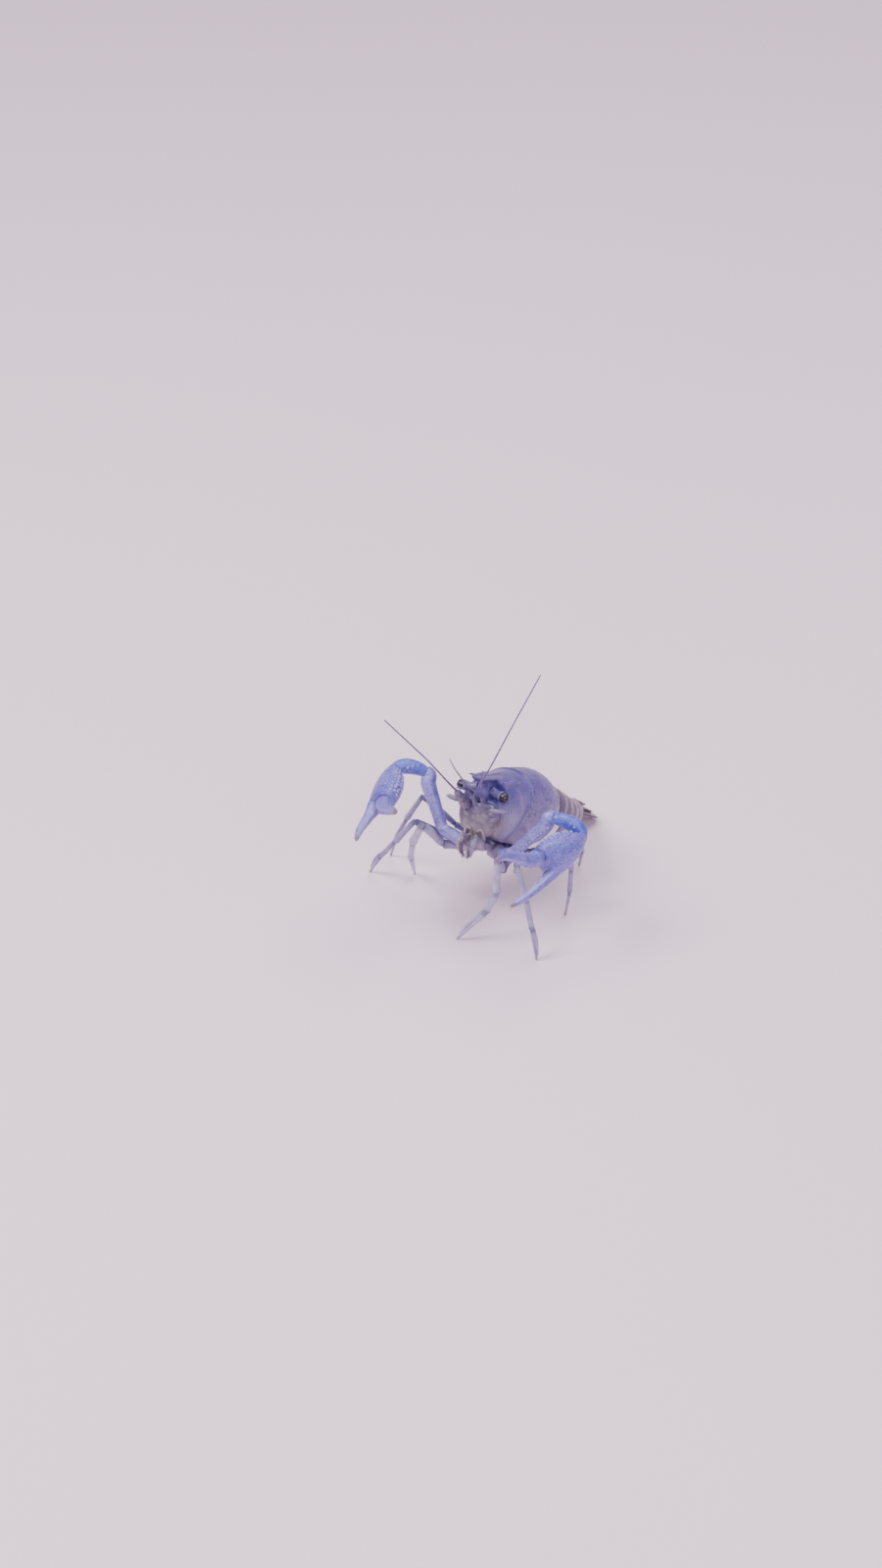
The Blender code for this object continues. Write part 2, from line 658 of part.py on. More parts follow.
FINGER_ROWS = (  # share of the length, half width, half thickness
    (0.0, 2.0, 2.3), (0.1, 2.05, 2.3), (0.24, 1.9, 2.0), (0.42, 1.6, 1.7),
    (0.62, 1.3, 1.35), (0.8, 1.0, 1.05), (0.93, 0.65, 0.7), (1.0, 0.3, 0.35),
)


def finger_half(name, t):
    return smooth(FINGER_ROWS, t) * (1 + (FINGER_BROAD[name] - 1) * (1 - t))


def make_finger(name):
    along, across, over = claw_axes(name)[1:]
    begin = in_claw(name, 16.4 + GAP, 2.4 + 0.9 * PALM_SPREAD[name], -1.1)
    tip = MOVING_TIP[name]
    reach = (tip - begin).length
    bend = begin + along * reach * 0.5 + across * reach * 0.48
    knots = (begin, begin + along * reach * 0.3, bend, tip)
    rings = []
    for t, _, thick in FINGER_ROWS:
        place, heading = on_bow(knots, t)
        rings.append(ring(place, heading, across, finger_half(name, t), thick))
    finger = loft("claw_{}_finger".format(name), rings, CLAW_BLUE)
    for t, radius in ((0.33, 0.7), (0.44, 0.8), (0.56, 0.6), (0.68, 0.5), (0.8, 0.4)):
        place, heading = on_bow(knots, t)
        inner = (across - heading * across.dot(heading)).normalized() * -1
        cone(place + inner * (finger_half(name, t) + 0.1), inner, radius, radius * 0.4, 1.5)
    for t, turn in ((0.12, -0.6), (0.12, 0.6), (0.26, -0.5), (0.26, 0.6), (0.42, 0.0), (0.56, 0.4)):
        place, heading = on_bow(knots, t)
        outer = (across - heading * across.dot(heading)).normalized()
        outer = (outer + over * turn).normalized()
        cone(place + outer * finger_half(name, t), outer + along * 0.4, 0.5, 0.18, 1.0)
    return join(finger)


def make_arm(name, hand):
    """The two lengths of the claw's arm up to the wrist, in one piece."""
    root, cut = hip_points(0, hand)[1:]
    elbow = ARM_ELBOW[name]
    end = ARM_END[name]
    way = (end - elbow).normalized()
    bend = bend_plane(root, elbow, end)
    last = wrist_cut(name, "wrist")
    rows = (  # place, direction, half width, half thickness
        (root + cut * GAP / 2, cut, 2.0, 1.9), (root + cut * 1.4, cut, 2.05, 1.95), (elbow, bend, 2.1, 1.9),
        (elbow.lerp(end, 0.22), way, 1.85, 1.65), (elbow.lerp(end, 0.5), way, 2.05, 1.85),
        (elbow.lerp(end, 0.78), way, 2.35, 2.15),
        (end - last * 1.4, (way + last).normalized(), 2.25, 2.1), (end - last * GAP / 2, last, 1.75, 1.75),
    )
    rings = [ring(p, d, FORWARD, w, t, sides=14) for p, d, w, t in rows]
    arm = loft("claw_{}_arm".format(name), rings, CLAW_BLUE)
    edge = (FORWARD - way * FORWARD.dot(way)).normalized()
    inward = way.cross(edge) * -hand
    for step in range(6):
        t = 0.2 + 0.125 * step
        half = 1.75 + 0.75 * t
        for side in (0.2, -0.75):
            out = (edge + inward * side).normalized()
            cone(elbow.lerp(end, t) + out * (half - 0.25), out + way * 0.5, 0.55, 0.16, 1.5)
    return join(arm)


WRIST_ROWS = (  # share of the length, half width, half thickness
    (0.0, 1.6, 1.6), (0.16, 1.95, 1.85), (0.36, 2.25, 2.1), (0.6, 2.4, 2.2), (0.82, 2.2, 2.0), (1.0, 1.8, 1.7),
)
WRIST_SPINES = (  # share of the length, turn from its upper side, size
    (0.32, -0.3, 0.42), (0.5, -0.5, 0.58), (0.68, -0.6, 0.62), (0.42, 0.4, 0.42),
    (0.6, 0.3, 0.5), (0.52, 1.2, 0.42), (0.78, 0.0, 0.5), (0.74, 0.9, 0.42),
)


def make_wrist(name):
    start = WRIST_END[name]
    first = wrist_cut(name, "wrist")
    last = wrist_cut(name, "palm")
    begin = ARM_END[name] + first * GAP / 2
    end = start - last * GAP / 2
    pull = (end - begin).length * 0.36
    knots = (begin, begin + first * pull, end - last * pull, end)
    upper = first.cross(last).normalized() * -HANDS[name]
    rings = []
    for t, half, thick in WRIST_ROWS:
        place, heading = on_bow(knots, t)
        rings.append(ring(place, heading, upper, half, thick, sides=14))
    wrist = loft("claw_{}_wrist".format(name), rings, CLAW_BLUE)
    for t, turn, size in WRIST_SPINES:
        place, heading = on_bow(knots, t)
        outer = upper.cross(heading).normalized() * HANDS[name]
        out = upper * math.cos(turn) + outer * math.sin(turn)
        cone(place + out * 2.05, out + heading * 0.25, size, size * 0.25, size * 2.2, 5)
    return join(wrist)


def on_bow(knots, t):
    """Place and heading on a curve drawn out by its two ends and two pulls."""
    a, b, c, d = knots
    u = 1 - t
    place = u**3 * a + 3 * u * u * t * b + 3 * u * t * t * c + t**3 * d
    heading = 3 * u * u * (b - a) + 6 * u * t * (c - b) + 3 * t * t * (d - c)
    return place, heading.normalized()


# Tail

def tail_frames():
    """Place, backward direction, across and up at each cut between tail rings."""
    place = on_shell(-GAP, 0, 6.0)
    slopes = [NOSE_UP] + [(a + b) / 2 for a, b in zip(TAIL_SLOPES, TAIL_SLOPES[1:])]
    slopes.append(TAIL_SLOPES[-1] - 6)
    turns = [0.0] + [(a + b) / 2 for a, b in zip(TAIL_TURNS, TAIL_TURNS[1:])] + [FAN_TURN - 1]
    frames = []
    for i, (slope, turn) in enumerate(zip(slopes, turns)):
        frames.append((place, slope, turn))
        if i < len(TAIL_LENGTHS):
            place = place + tail_axes(TAIL_SLOPES[i], TAIL_TURNS[i])[0] * TAIL_LENGTHS[i]
    return frames


def tail_axes(slope, turn):
    s, t = math.radians(slope), math.radians(turn)
    back = Vector((-math.sin(t) * math.cos(s), math.cos(t) * math.cos(s), -math.sin(s)))
    across = Vector((math.cos(t), math.sin(t), 0.0))
    return back, across, across.cross(back)


def tail_section(frame, offset, half, height, lobe, belly=0.8):
    place, slope, turn = frame
    back, across, up = tail_axes(slope, turn)
    base = place + back * offset
    right = []
    for i in range(7):
        t = math.radians(90.0 * i / 6)
        right.append((half * rounded(math.sin(t), 2.2), -height * (1 - rounded(math.cos(t), 2.2))))
    right.append((half * 1.0, -height - 0.5 * lobe))
    right.append((half * 0.95, -height - lobe))
    right.append((half * 0.86, -height - 0.8 * lobe))
    right.append((half * 0.82, -height * belly - 0.4))
    right.append((half * 0.45, -height * belly - 0.9))
    left = [(-x, y) for x, y in right[1:]]
    points = right + [(0.0, -height * belly - 1.0)] + left[::-1]
    return [base + across * x + up * y for x, y in points]


def make_tail_ring(index):
    frames = tail_frames()
    one, two = frames[index], frames[index + 1]
    half = TAIL_HALF_WIDTHS[index]
    height = TAIL_HEIGHTS[index]
    lobe = TAIL_LOBES[index]
    taper = 0.94 if index < 5 else 0.82
    rings = []
    for t, swell, hang in TAIL_SWELL:
        place = one[0].lerp(two[0], t)
        slope = one[1] + (two[1] - one[1]) * t
        turn = one[2] + (two[2] - one[2]) * t
        offset = GAP / 2 if t == 0.0 else (-GAP / 2 if t == 1.0 else 0.0)
        size = swell * (1 + (taper - 1) * t)
        back, across, up = tail_axes(slope, turn)
        drop = up * (-(1.01 - swell) * height * 0.5)
        frame = (place + drop, slope, turn)
        rings.append(tail_section(frame, offset, half * size, height * size, lobe * hang))
    tail = loft("abdomen_{}".format(index + 1), rings, TAIL_VIOLET)
    if 1 <= index <= 4:
        place = one[0].lerp(two[0], 0.4)
        back, across, up = tail_axes(one[1], one[2])
        for hand in HANDS.values():
            top = place + across * (hand * 3.8) - up * (height - 0.6)
            low = top - up * 2.6 + back * 0.9
            stations = [(top, 0.75), (top.lerp(low, 0.5), 0.8), (low, 0.35)]
            tube("swimmeret", stations, TAIL_VIOLET, JOINED, roundness=1)
        join(tail)
    flatten_foot(tail)
    return tail


def fan_plate(name, root, turn, slope, rows, keel, look=None):
    """A flat lobe of the tail fan: rows are distance, half width and thickness."""
    back, across, up = tail_axes(slope, turn)
    rings = []
    for s, half, thick in rows:
        base = root + back * s
        crown = keel * min(1.0, half / 3.0)
        upper = [(x, (thick / 2 + crown * (1 - abs(x))) * (1 - abs(x) ** 4) + 0.12 * thick) for x in
                 (1.0, 0.6, 0.16, 0.0, -0.16, -0.6, -1.0)]
        lower = [(x, -thick / 2 * (1 - abs(x) ** 4) - 0.12 * thick) for x in (-1.0, -0.6, 0.0, 0.6, 1.0)]
        rings.append([base + across * (x * half) + up * y for x, y in upper + lower])
    return loft(name, rings, look or TAIL_VIOLET)


TELSON_ROWS = (
    (GAP, 3.7, 1.2), (1.0, 4.1, 1.2), (3.5, 4.2, 1.1), (6.2, 3.9, 1.0), (6.9, 3.6, 1.0),
    (8.4, 3.4, 0.9), (9.8, 2.7, 0.8), (10.7, 1.5, 0.7),
)
LOBE_ROWS = (
    (0.0, 1.3, 1.1), (1.2, 1.9, 1.0), (3.4, 2.7, 0.9), (6.0, 3.0, 0.85), (8.2, 2.8, 0.8),
    (9.6, 2.1, 0.75), (10.4, 1.0, 0.7),
)
FAN_LOBES = (  # root out, turn outward, root under, how much flatter than the telson
    ("inner", 2.6, 7.0, 2.45, 1.5), ("outer", 3.9, 14.0, 3.95, 2.5),
)


def make_fan():
    end = tail_frames()[-1]
    back, across, up = tail_axes(end[1], end[2])
    telson_root = end[0] - up * 0.75
    fan_plate("telson", telson_root, FAN_TURN, FAN_SLOPE, TELSON_ROWS, 0.35)
    for kind, side, turn, under, flatter in FAN_LOBES:
        for name, hand in HANDS.items():
            root = end[0] + across * (hand * side) - up * under + back * (GAP + 0.35)
            label = "tail_fan_{}_{}".format(kind, name)
            lobe = fan_plate(label, root, FAN_TURN - hand * turn, FAN_SLOPE - flatter, LOBE_ROWS, 0.3)
            flatten_foot(lobe)


# Eyes and feelers

EYE_RADIUS = 1.6
EYE_CUT = 0.8                            # where the eye's round is cut to meet its stalk


def eye_points(hand):
    return on_shell(36.6, hand * 2.42, 4.7), on_shell(37.6, hand * 7.1, 4.1)


def make_eye(name, hand):
    root, centre = eye_points(hand)
    out = (centre - root).normalized()
    neck = centre - out * (EYE_CUT + GAP)
    stalk = [(root, 1.25), (root.lerp(neck, 0.35), 1.1), (root.lerp(neck, 0.7), 1.2), (neck, 1.4)]
    tube("eyestalk_" + name, stalk, SHELL_BLUE)
    work = bmesh.new()
    bmesh.ops.create_uvsphere(work, u_segments=18, v_segments=12, radius=EYE_RADIUS * MM)
    cut = bmesh.ops.bisect_plane(
        work, geom=work.verts[:] + work.edges[:] + work.faces[:],
        plane_co=(0, 0, -EYE_CUT * MM), plane_no=(0, 0, 1), clear_inner=True,
    )
    edges = [e for e in cut["geom_cut"] if isinstance(e, bmesh.types.BMEdge)]
    bmesh.ops.contextual_create(work, geom=edges)
    bmesh.ops.triangulate(work, faces=work.faces)
    bmesh.ops.recalc_face_normals(work, faces=work.faces)
    mesh = bpy.data.meshes.new("eye_" + name)
    work.to_mesh(mesh)
    work.free()
    eye = bpy.data.objects.new("eye_" + name, mesh)
    turn = out.to_track_quat("Z", "Y").to_matrix().to_4x4()
    eye.matrix_world = Matrix.Translation((centre - FRAME) * MM) @ turn
    return finish(eye, EYE_BLACK)


def make_antenna(name, hand):
    a, b, c = ANTENNA_ROOT
    root = on_shell(a, hand * b, c)
    knee = ANTENNA_KNEE[name]
    way = (knee - root).normalized()
    path = [Vector(p) for p in ANTENNA_PATH[name]]
    turn = bend_plane(root, knee, path[0])
    base = [(root, 1.5), (root + FORWARD * 0.9, 1.65), (root + way * 3.0, 1.75), (root + way * 3.5, 1.4),
            (root.lerp(knee, 0.6), 1.4), (root.lerp(knee, 0.66), 1.15), (knee - turn * 1.0, 1.1),
            (knee - turn * GAP / 2, 0.95)]
    tube("antenna_base_" + name, base, SHELL_BLUE)
    knots = [(i, *p) for i, p in enumerate([knee + turn * GAP / 2, knee + turn * 1.6] + path)]
    whip = []
    steps = 22
    for i in range(steps + 1):
        t = i / steps
        x = t * (len(knots) - 1)
        place = Vector((smooth(knots, x, 1), smooth(knots, x, 2), smooth(knots, x, 3)))
        whip.append((place, 0.45 - 0.2 * t**0.6 if i < steps else 0.15))
    tube("antenna_" + name, whip, SHELL_BLUE, roundness=1)


SCALE_ROWS = (  # distance along the blade, half width, thickness
    (0.0, 0.8, 0.8), (1.2, 1.2, 0.8), (3.5, 1.55, 0.75), (6.0, 1.3, 0.7), (7.6, 0.7, 0.6), (8.6, 0.2, 0.4),
)


def make_scale(name, hand):
    """The flat blade beside each feeler's base, with a spine on its outer edge."""
    rings = []
    for s, half, thick in SCALE_ROWS:
        centre = on_shell(36.6 + s, hand * (7.1 + 0.35 * half), -0.4 + 0.12 * s)
        side = LEFT * hand + UPWARD * 0.45
        rings.append(ring(centre, FORWARD, side, half, thick / 2, power=2.0, sides=10))
    return loft("antenna_scale_" + name, rings, SHELL_BLUE)


def make_antennule(name, hand):
    root = on_shell(37.1, hand * 1.35, 0.2)
    fork = on_shell(40.6, hand * 1.7, 2.6)
    paths = [[Vector(p) for p in path] for path in ANTENNULE_PATH[name]]
    base = [(root, 0.8), (root + FORWARD * 0.9, 0.9), (root.lerp(fork, 0.6), 0.8), (fork, 0.6)]
    whips = []
    for path in paths:
        stations = [(fork - (fork - root).normalized() * 0.4, 0.36), (fork.lerp(path[0], 0.5), 0.36)]
        stations += [(path[0], 0.34), (path[0].lerp(path[1], 0.5), 0.32), (path[1], 0.3), (path[2], 0.2)]
        whips.append(stations)
    stem = tube("antennule_" + name, base, SHELL_BLUE, roundness=2)
    for stations in whips:
        tube("whip", stations, SHELL_BLUE, JOINED, roundness=1)
    return join(stem)


def main():
    make_thorax()
    make_head()
    make_chest()
    for name, hand in HANDS.items():
        make_mouth_leg(name, hand)
        make_eye(name, hand)
        make_antenna(name, hand)
        make_scale(name, hand)
        make_antennule(name, hand)
        make_arm(name, hand)
        make_wrist(name)
        make_palm(name)
        make_finger(name)
        for index in range(4):
            make_leg(name, hand, index)
    for index in range(6):
        make_tail_ring(index)
    make_fan()
    bpy.data.collections.remove(JOINED)


main()
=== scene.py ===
# A life-size Everglades crayfish, standing with both claws raised, for a museum shelf.
# Lengths are in millimetres unless a name says otherwise. The animal faces -Y, left is +X.
import math
import random

import bmesh
import bpy
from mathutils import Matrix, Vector, noise


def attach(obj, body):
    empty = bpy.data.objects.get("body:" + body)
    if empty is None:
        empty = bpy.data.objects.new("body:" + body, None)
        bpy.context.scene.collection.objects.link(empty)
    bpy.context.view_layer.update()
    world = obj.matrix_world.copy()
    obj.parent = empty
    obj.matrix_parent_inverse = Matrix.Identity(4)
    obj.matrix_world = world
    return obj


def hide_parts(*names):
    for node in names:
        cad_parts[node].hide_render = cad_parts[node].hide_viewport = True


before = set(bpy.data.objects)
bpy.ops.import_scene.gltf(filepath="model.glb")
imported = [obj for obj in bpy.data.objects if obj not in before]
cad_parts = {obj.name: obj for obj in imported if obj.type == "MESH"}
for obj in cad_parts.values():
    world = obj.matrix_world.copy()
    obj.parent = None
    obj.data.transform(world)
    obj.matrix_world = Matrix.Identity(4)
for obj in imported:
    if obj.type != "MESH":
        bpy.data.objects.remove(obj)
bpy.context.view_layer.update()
print("frame loaded")

mm = 0.001
origin = Vector((-4.356, 18.265, 0.0))       # middle of the whole model
gap = 0.3                                    # left between neighbouring solids
hands = {"left": 1, "right": -1}
down = Vector((0, 0, -1))

pose = dict(noseUp=27.0, eyeAlong=37.5, eyeAbove=4.0, eyePlace=Vector((0.0, 4.1, 45.0)))
tilt = math.radians(pose["noseUp"])
forward = Vector((0.0, -math.cos(tilt), math.sin(tilt)))
upward = Vector((0.0, math.sin(tilt), math.cos(tilt)))
sideways = Vector((1.0, 0.0, 0.0))
shellAxes = (sideways, upward, forward)
seeds = dict(  # of the random spreads
    beads=9, palm=21, finger=22, tubercles={"left": 31, "right": 32}, leg=40, mouthLeg=60, jaws=61, scale=70)


def onShell(a, b, c):  # a forward from the shell's rear edge, b to the left, c up
    return (pose["eyePlace"] + forward * (a - pose["eyeAlong"]) + sideways * b
            + upward * (c - pose["eyeAbove"]))


def onSide(place, hand):  # the same for a left or right place given as a, b, c
    a, b, c = place
    return onShell(a, hand * b, c)


def shellPlace(p):  # the way back: a, b, c of a place
    q = p - pose["eyePlace"]
    return q.dot(forward) + pose["eyeAlong"], q.x, q.dot(upward) + pose["eyeAbove"]


def read(table, x, column=1):  # a value on a smooth curve through the rows of a table
    if x <= table[0][0]:
        return table[0][column]
    if x >= table[-1][0]:
        return table[-1][column]
    at = 0
    while at < len(table) - 2 and table[at + 1][0] <= x:
        at += 1
    low, high = table[at], table[at + 1]
    span = high[0] - low[0]
    t = (x - low[0]) / span
    before, after = table[max(at - 1, 0)], table[min(at + 2, len(table) - 1)]
    first = (high[column] - before[column]) / (high[0] - before[0]) * span
    last = (after[column] - low[column]) / (after[0] - low[0]) * span
    return ((2 * t**3 - 3 * t * t + 1) * low[column] + (t**3 - 2 * t * t + t) * first
            + (3 * t * t - 2 * t**3) * high[column] + (t**3 - t * t) * last)


def readSpot(table, x):  # the same for a place, kept in columns 1 to 3
    return Vector((read(table, x, 1), read(table, x, 2), read(table, x, 3)))


def circle(count):  # angles evenly round a ring
    return [2 * math.pi * i / count for i in range(count)]


def swell(value, power):  # rounds a sine or cosine towards a square with a high power
    return math.copysign(abs(value) ** (2.0 / power), value)


def bell(x, width):  # 1 at x = 0, fading to 0 within a few widths
    return math.exp(-(x / width) ** 2)


def ease(x, low, high):  # 0 below low, 1 above high
    t = min(max((x - low) / (high - low), 0.0), 1.0)
    return t * t * (3 - 2 * t)


def between(start, end, rows, scale=1.0):  # stations from rows of share, half width, half thickness
    return [(start.lerp(end, t), wide * scale, thick * scale) for t, wide, thick in rows]


class Clay:  # points and faces gathered for one piece
    def __init__(self):
        self.points = []
        self.faces = []

    def rings(self, rings, caps=(True, True), middles=(None, None)):
        start = len(self.points)
        count = len(rings[0])
        for ring in rings:
            self.points.extend(ring)
        for r in range(len(rings) - 1):
            k = start + r * count
            for i in range(count):
                j = (i + 1) % count
                self.faces.append((k + i, k + j, k + count + j, k + count + i))
        for cap, ring, row, middle in ((caps[0], rings[0], 0, middles[0]),
                                       (caps[1], rings[-1], len(rings) - 1, middles[1])):
            if not cap:
                continue
            k = start + row * count
            hub = len(self.points)
            self.points.append(middle or sum(ring, Vector()) / count)
            for i in range(count):
                self.faces.append((k + i, k + (i + 1) % count, hub))

    def bump(self, place, out, radius, height, profile="dome", sides=8, lean=None):
        out = out.normalized()
        side = out.orthogonal().normalized()
        over = out.cross(side)
        lean = lean or Vector()
        rings = []
        for lift, wide in bumpProfiles[profile]:
            centre = place + out * (lift * height) + lean * (max(lift, 0.0) ** 1.5 * height)
            rings.append([centre + (side * math.cos(t) + over * math.sin(t)) * (radius * wide)
                          for t in circle(sides)])
        self.rings(rings)

    def hair(self, place, way, length, thick=0.03):
        side = way.orthogonal().normalized() * thick
        over = way.cross(side).normalized() * thick
        base = len(self.points)
        bend = place + way * length * 0.6
        self.points += [place + side, place - side * 0.5 + over, place - side * 0.5 - over,
                        bend + side * 0.6, bend - side * 0.3 + over * 0.6, bend - side * 0.3 - over * 0.6,
                        place + way * length]
        for i in range(3):
            j = (i + 1) % 3
            self.faces.append((base + i, base + j, base + 3 + j, base + 3 + i))
            self.faces.append((base + 3 + i, base + 3 + j, base + 6))

    def ball(self, centre, radii, axes, sides=16, rows=9):
        rings = []
        for r in range(1, rows):
            t = math.pi * r / rows
            rings.append([centre + axes[2] * (radii[2] * math.cos(t))
                          + axes[0] * (radii[0] * math.sin(t) * math.cos(u))
                          + axes[1] * (radii[1] * math.sin(t) * math.sin(u))
                          for u in circle(sides)])
        self.rings(rings, middles=(centre + axes[2] * radii[2], centre - axes[2] * radii[2]))

    def limb(self, stations, side, sides=20, steps=40, power=2.0, ends=(0.5, 0.5), shape=None):
        # stations are (place, half width, half thickness); the ends are rounded off by that much
        rows = []
        run = 0.0
        for i, (place, wide, thick) in enumerate(stations):
            if i:
                run += (place - stations[i - 1][0]).length
            rows.append((run, *place, wide, thick))
        spots = [(0.0, -math.sin(q) * ends[0], math.cos(q)) for q in endTurns[::-1]] if ends[0] else []
        spots += [(run * i / (steps - 1), 0.0, 1.0) for i in range(steps)]
        spots += [(run, math.sin(q) * ends[1], math.cos(q)) for q in endTurns] if ends[1] else []
        rings = []
        across = side
        for s, shift, scale in spots:
            way = (readSpot(rows, min(s + 0.05, run)) - readSpot(rows, max(s - 0.05, 0.0))).normalized()
            across = (across - way * across.dot(way)).normalized()
            over = way.cross(across)
            place = readSpot(rows, s) + way * shift
            wide, thick = read(rows, s, 4) * scale, read(rows, s, 5) * scale
            ring = []
            for t in circle(sides):
                out = across * (wide * swell(math.cos(t), power)) + over * (thick * swell(math.sin(t), power))
                if shape:
                    out *= shape(s / run, t)
                ring.append(place + out)
            rings.append(ring)
        self.rings(rings)

    def ground(self):  # nothing goes below the floor
        for point in self.points:
            point.z = max(point.z, 0.0)


bumpProfiles = dict(  # each ring's share of the height and of the radius
    dome=((-0.4, 1.05), (0.0, 1.0), (0.45, 0.82), (0.8, 0.48), (0.97, 0.16)),
    spine=((-0.3, 1.1), (0.0, 1.0), (0.3, 0.7), (0.65, 0.4), (0.9, 0.18), (1.0, 0.05)),
    tooth=((-0.4, 1.1), (0.0, 1.05), (0.4, 0.95), (0.75, 0.65), (0.95, 0.25)),
)
endTurns = (0.5, 1.0, 1.35)                  # where a limb's rounded end has its rings, in radians
fusing = dict(passes=2, share=0.5)           # how a fused piece is smoothed


def palePaint(pale, dark=0.0, warm=0.0):  # the same marks all over
    return lambda p, normal: (pale, dark, warm)


def makePiece(name, clay, look, nodes, paint=palePaint(0.0), fuse=0.0):
    # turns gathered clay into an object that stands for its nodes; fuse is a voxel's size
    mesh = bpy.data.meshes.new(name)
    mesh.from_pydata([(p - origin) * mm for p in clay.points], [], clay.faces)
    work = bmesh.new()
    work.from_mesh(mesh)
    bmesh.ops.recalc_face_normals(work, faces=work.faces)
    work.to_mesh(mesh)
    work.free()
    thing = bpy.data.objects.new(name, mesh)
    bpy.context.scene.collection.objects.link(thing)
    if fuse:
        melt = thing.modifiers.new("melt", "REMESH")
        melt.mode = "VOXEL"
        melt.voxel_size = fuse * mm
        calm = thing.modifiers.new("calm", "SMOOTH")
        calm.factor = fusing["share"]
        calm.iterations = fusing["passes"]
        seen = thing.evaluated_get(bpy.context.evaluated_depsgraph_get())
        thing.data = bpy.data.meshes.new_from_object(seen)
        thing.modifiers.clear()
        bpy.data.meshes.remove(mesh)
        thing.data.name = name
        mesh = thing.data
    for face in mesh.polygons:
        face.use_smooth = True
    marks = mesh.color_attributes.new("paint", "FLOAT_COLOR", "POINT")
    for vertex, mark in zip(mesh.vertices, marks.data):
        mark.color = (*paint(vertex.co / mm + origin, vertex.normal), 1.0)
    mesh.materials.clear()
    mesh.materials.append(look)
    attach(thing, "root")
    if nodes:
        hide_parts(*nodes)


# materials

horn = dict(
    reliefHeight=0.00025, wetRough=0.16, patchBand=(0.40, 0.62), grainBand=(0.3, 0.7),
    pitScatter=0.85, pitEdge=0.55,
)


def coat(name, look):  # a horny skin: patches, grain, pits, and the pale, dark and warm marks painted on
    made = bpy.data.materials.new(name)
    made.use_nodes = True
    nodes, links = made.node_tree.nodes, made.node_tree.links
    shader = nodes["Principled BSDF"]
    place = nodes.new("ShaderNodeTexCoord").outputs["Object"]

    def clouds(scale, detail=3.0, rough=0.55):
        node = nodes.new("ShaderNodeTexNoise")
        node.inputs["Scale"].default_value = scale
        node.inputs["Detail"].default_value = detail
        node.inputs["Roughness"].default_value = rough
        links.new(place, node.inputs["Vector"])
        return node.outputs["Fac"]

    def span(value, low, high, newLow=0.0, newHigh=1.0):
        node = nodes.new("ShaderNodeMapRange")
        node.interpolation_type = "SMOOTHSTEP"
        for key, number in zip(("From Min", "From Max", "To Min", "To Max"), (low, high, newLow, newHigh)):
            node.inputs[key].default_value = number
        links.new(value, node.inputs["Value"])
        return node.outputs["Result"]

    def mix(amount, one, two, kind="MIX"):
        node = nodes.new("ShaderNodeMix")
        node.data_type = "RGBA"
        node.blend_type = kind
        for key, value in ((0, amount), (6, one), (7, two)):
            if isinstance(value, tuple):
                node.inputs[key].default_value = (*value, 1.0)
            elif isinstance(value, float):
                node.inputs[key].default_value = value
            else:
                links.new(value, node.inputs[key])
        return node.outputs[2]

    def reckon(one, two, kind="MULTIPLY"):
        node = nodes.new("ShaderNodeMath")
        node.operation = kind
        for key, value in ((0, one), (1, two)):
            if isinstance(value, float):
                node.inputs[key].default_value = value
            else:
                links.new(value, node.inputs[key])
        return node.outputs[0]

    marks = nodes.new("ShaderNodeAttribute")
    marks.attribute_name = "paint"
    parts = nodes.new("ShaderNodeSeparateColor")
    links.new(marks.outputs["Color"], parts.inputs["Color"])
    patch = span(clouds(look["patch"], 4.0, 0.6), *horn["patchBand"])
    colour = mix(patch, look["base"], look["second"])
    fine = clouds(look["grain"], 3.0, 0.7)
    shade = span(fine, *horn["grainBand"], 1.0 - look["mottle"], 1.0 + look["mottle"])
    tone = nodes.new("ShaderNodeCombineColor")
    for i in range(3):
        links.new(shade, tone.inputs[i])
    colour = mix(1.0, colour, tone.outputs[0], "MULTIPLY")
    height = reckon(fine, look["rub"])
    if look.get("pits"):
        cells = nodes.new("ShaderNodeTexVoronoi")
        cells.inputs["Scale"].default_value = look["pits"]
        cells.inputs["Randomness"].default_value = horn["pitScatter"]
        links.new(place, cells.inputs["Vector"])
        spot = span(cells.outputs["Distance"], look["pitSize"] * horn["pitEdge"], look["pitSize"], 1.0, 0.0)
        colour = mix(reckon(spot, look["pitDark"]), colour, look["dark"])
        height = reckon(height, reckon(spot, look["pitDeep"]), "SUBTRACT")
    colour = mix(parts.outputs[0], colour, look["pale"])
    colour = mix(parts.outputs[2], colour, look["warm"])
    colour = mix(parts.outputs[1], colour, look["dark"])
    links.new(colour, shader.inputs["Base Color"])
    rough = span(clouds(look["grain"] * 0.4), *horn["grainBand"], *look["gloss"])
    links.new(rough, shader.inputs["Roughness"])
    relief = nodes.new("ShaderNodeBump")
    relief.inputs["Strength"].default_value = look["relief"]
    relief.inputs["Distance"].default_value = horn["reliefHeight"]
    links.new(height, relief.inputs["Height"])
    links.new(relief.outputs["Normal"], shader.inputs["Normal"])
    shader.inputs["Coat Weight"].default_value = look["wet"]
    shader.inputs["Coat Roughness"].default_value = horn["wetRough"]
    return made


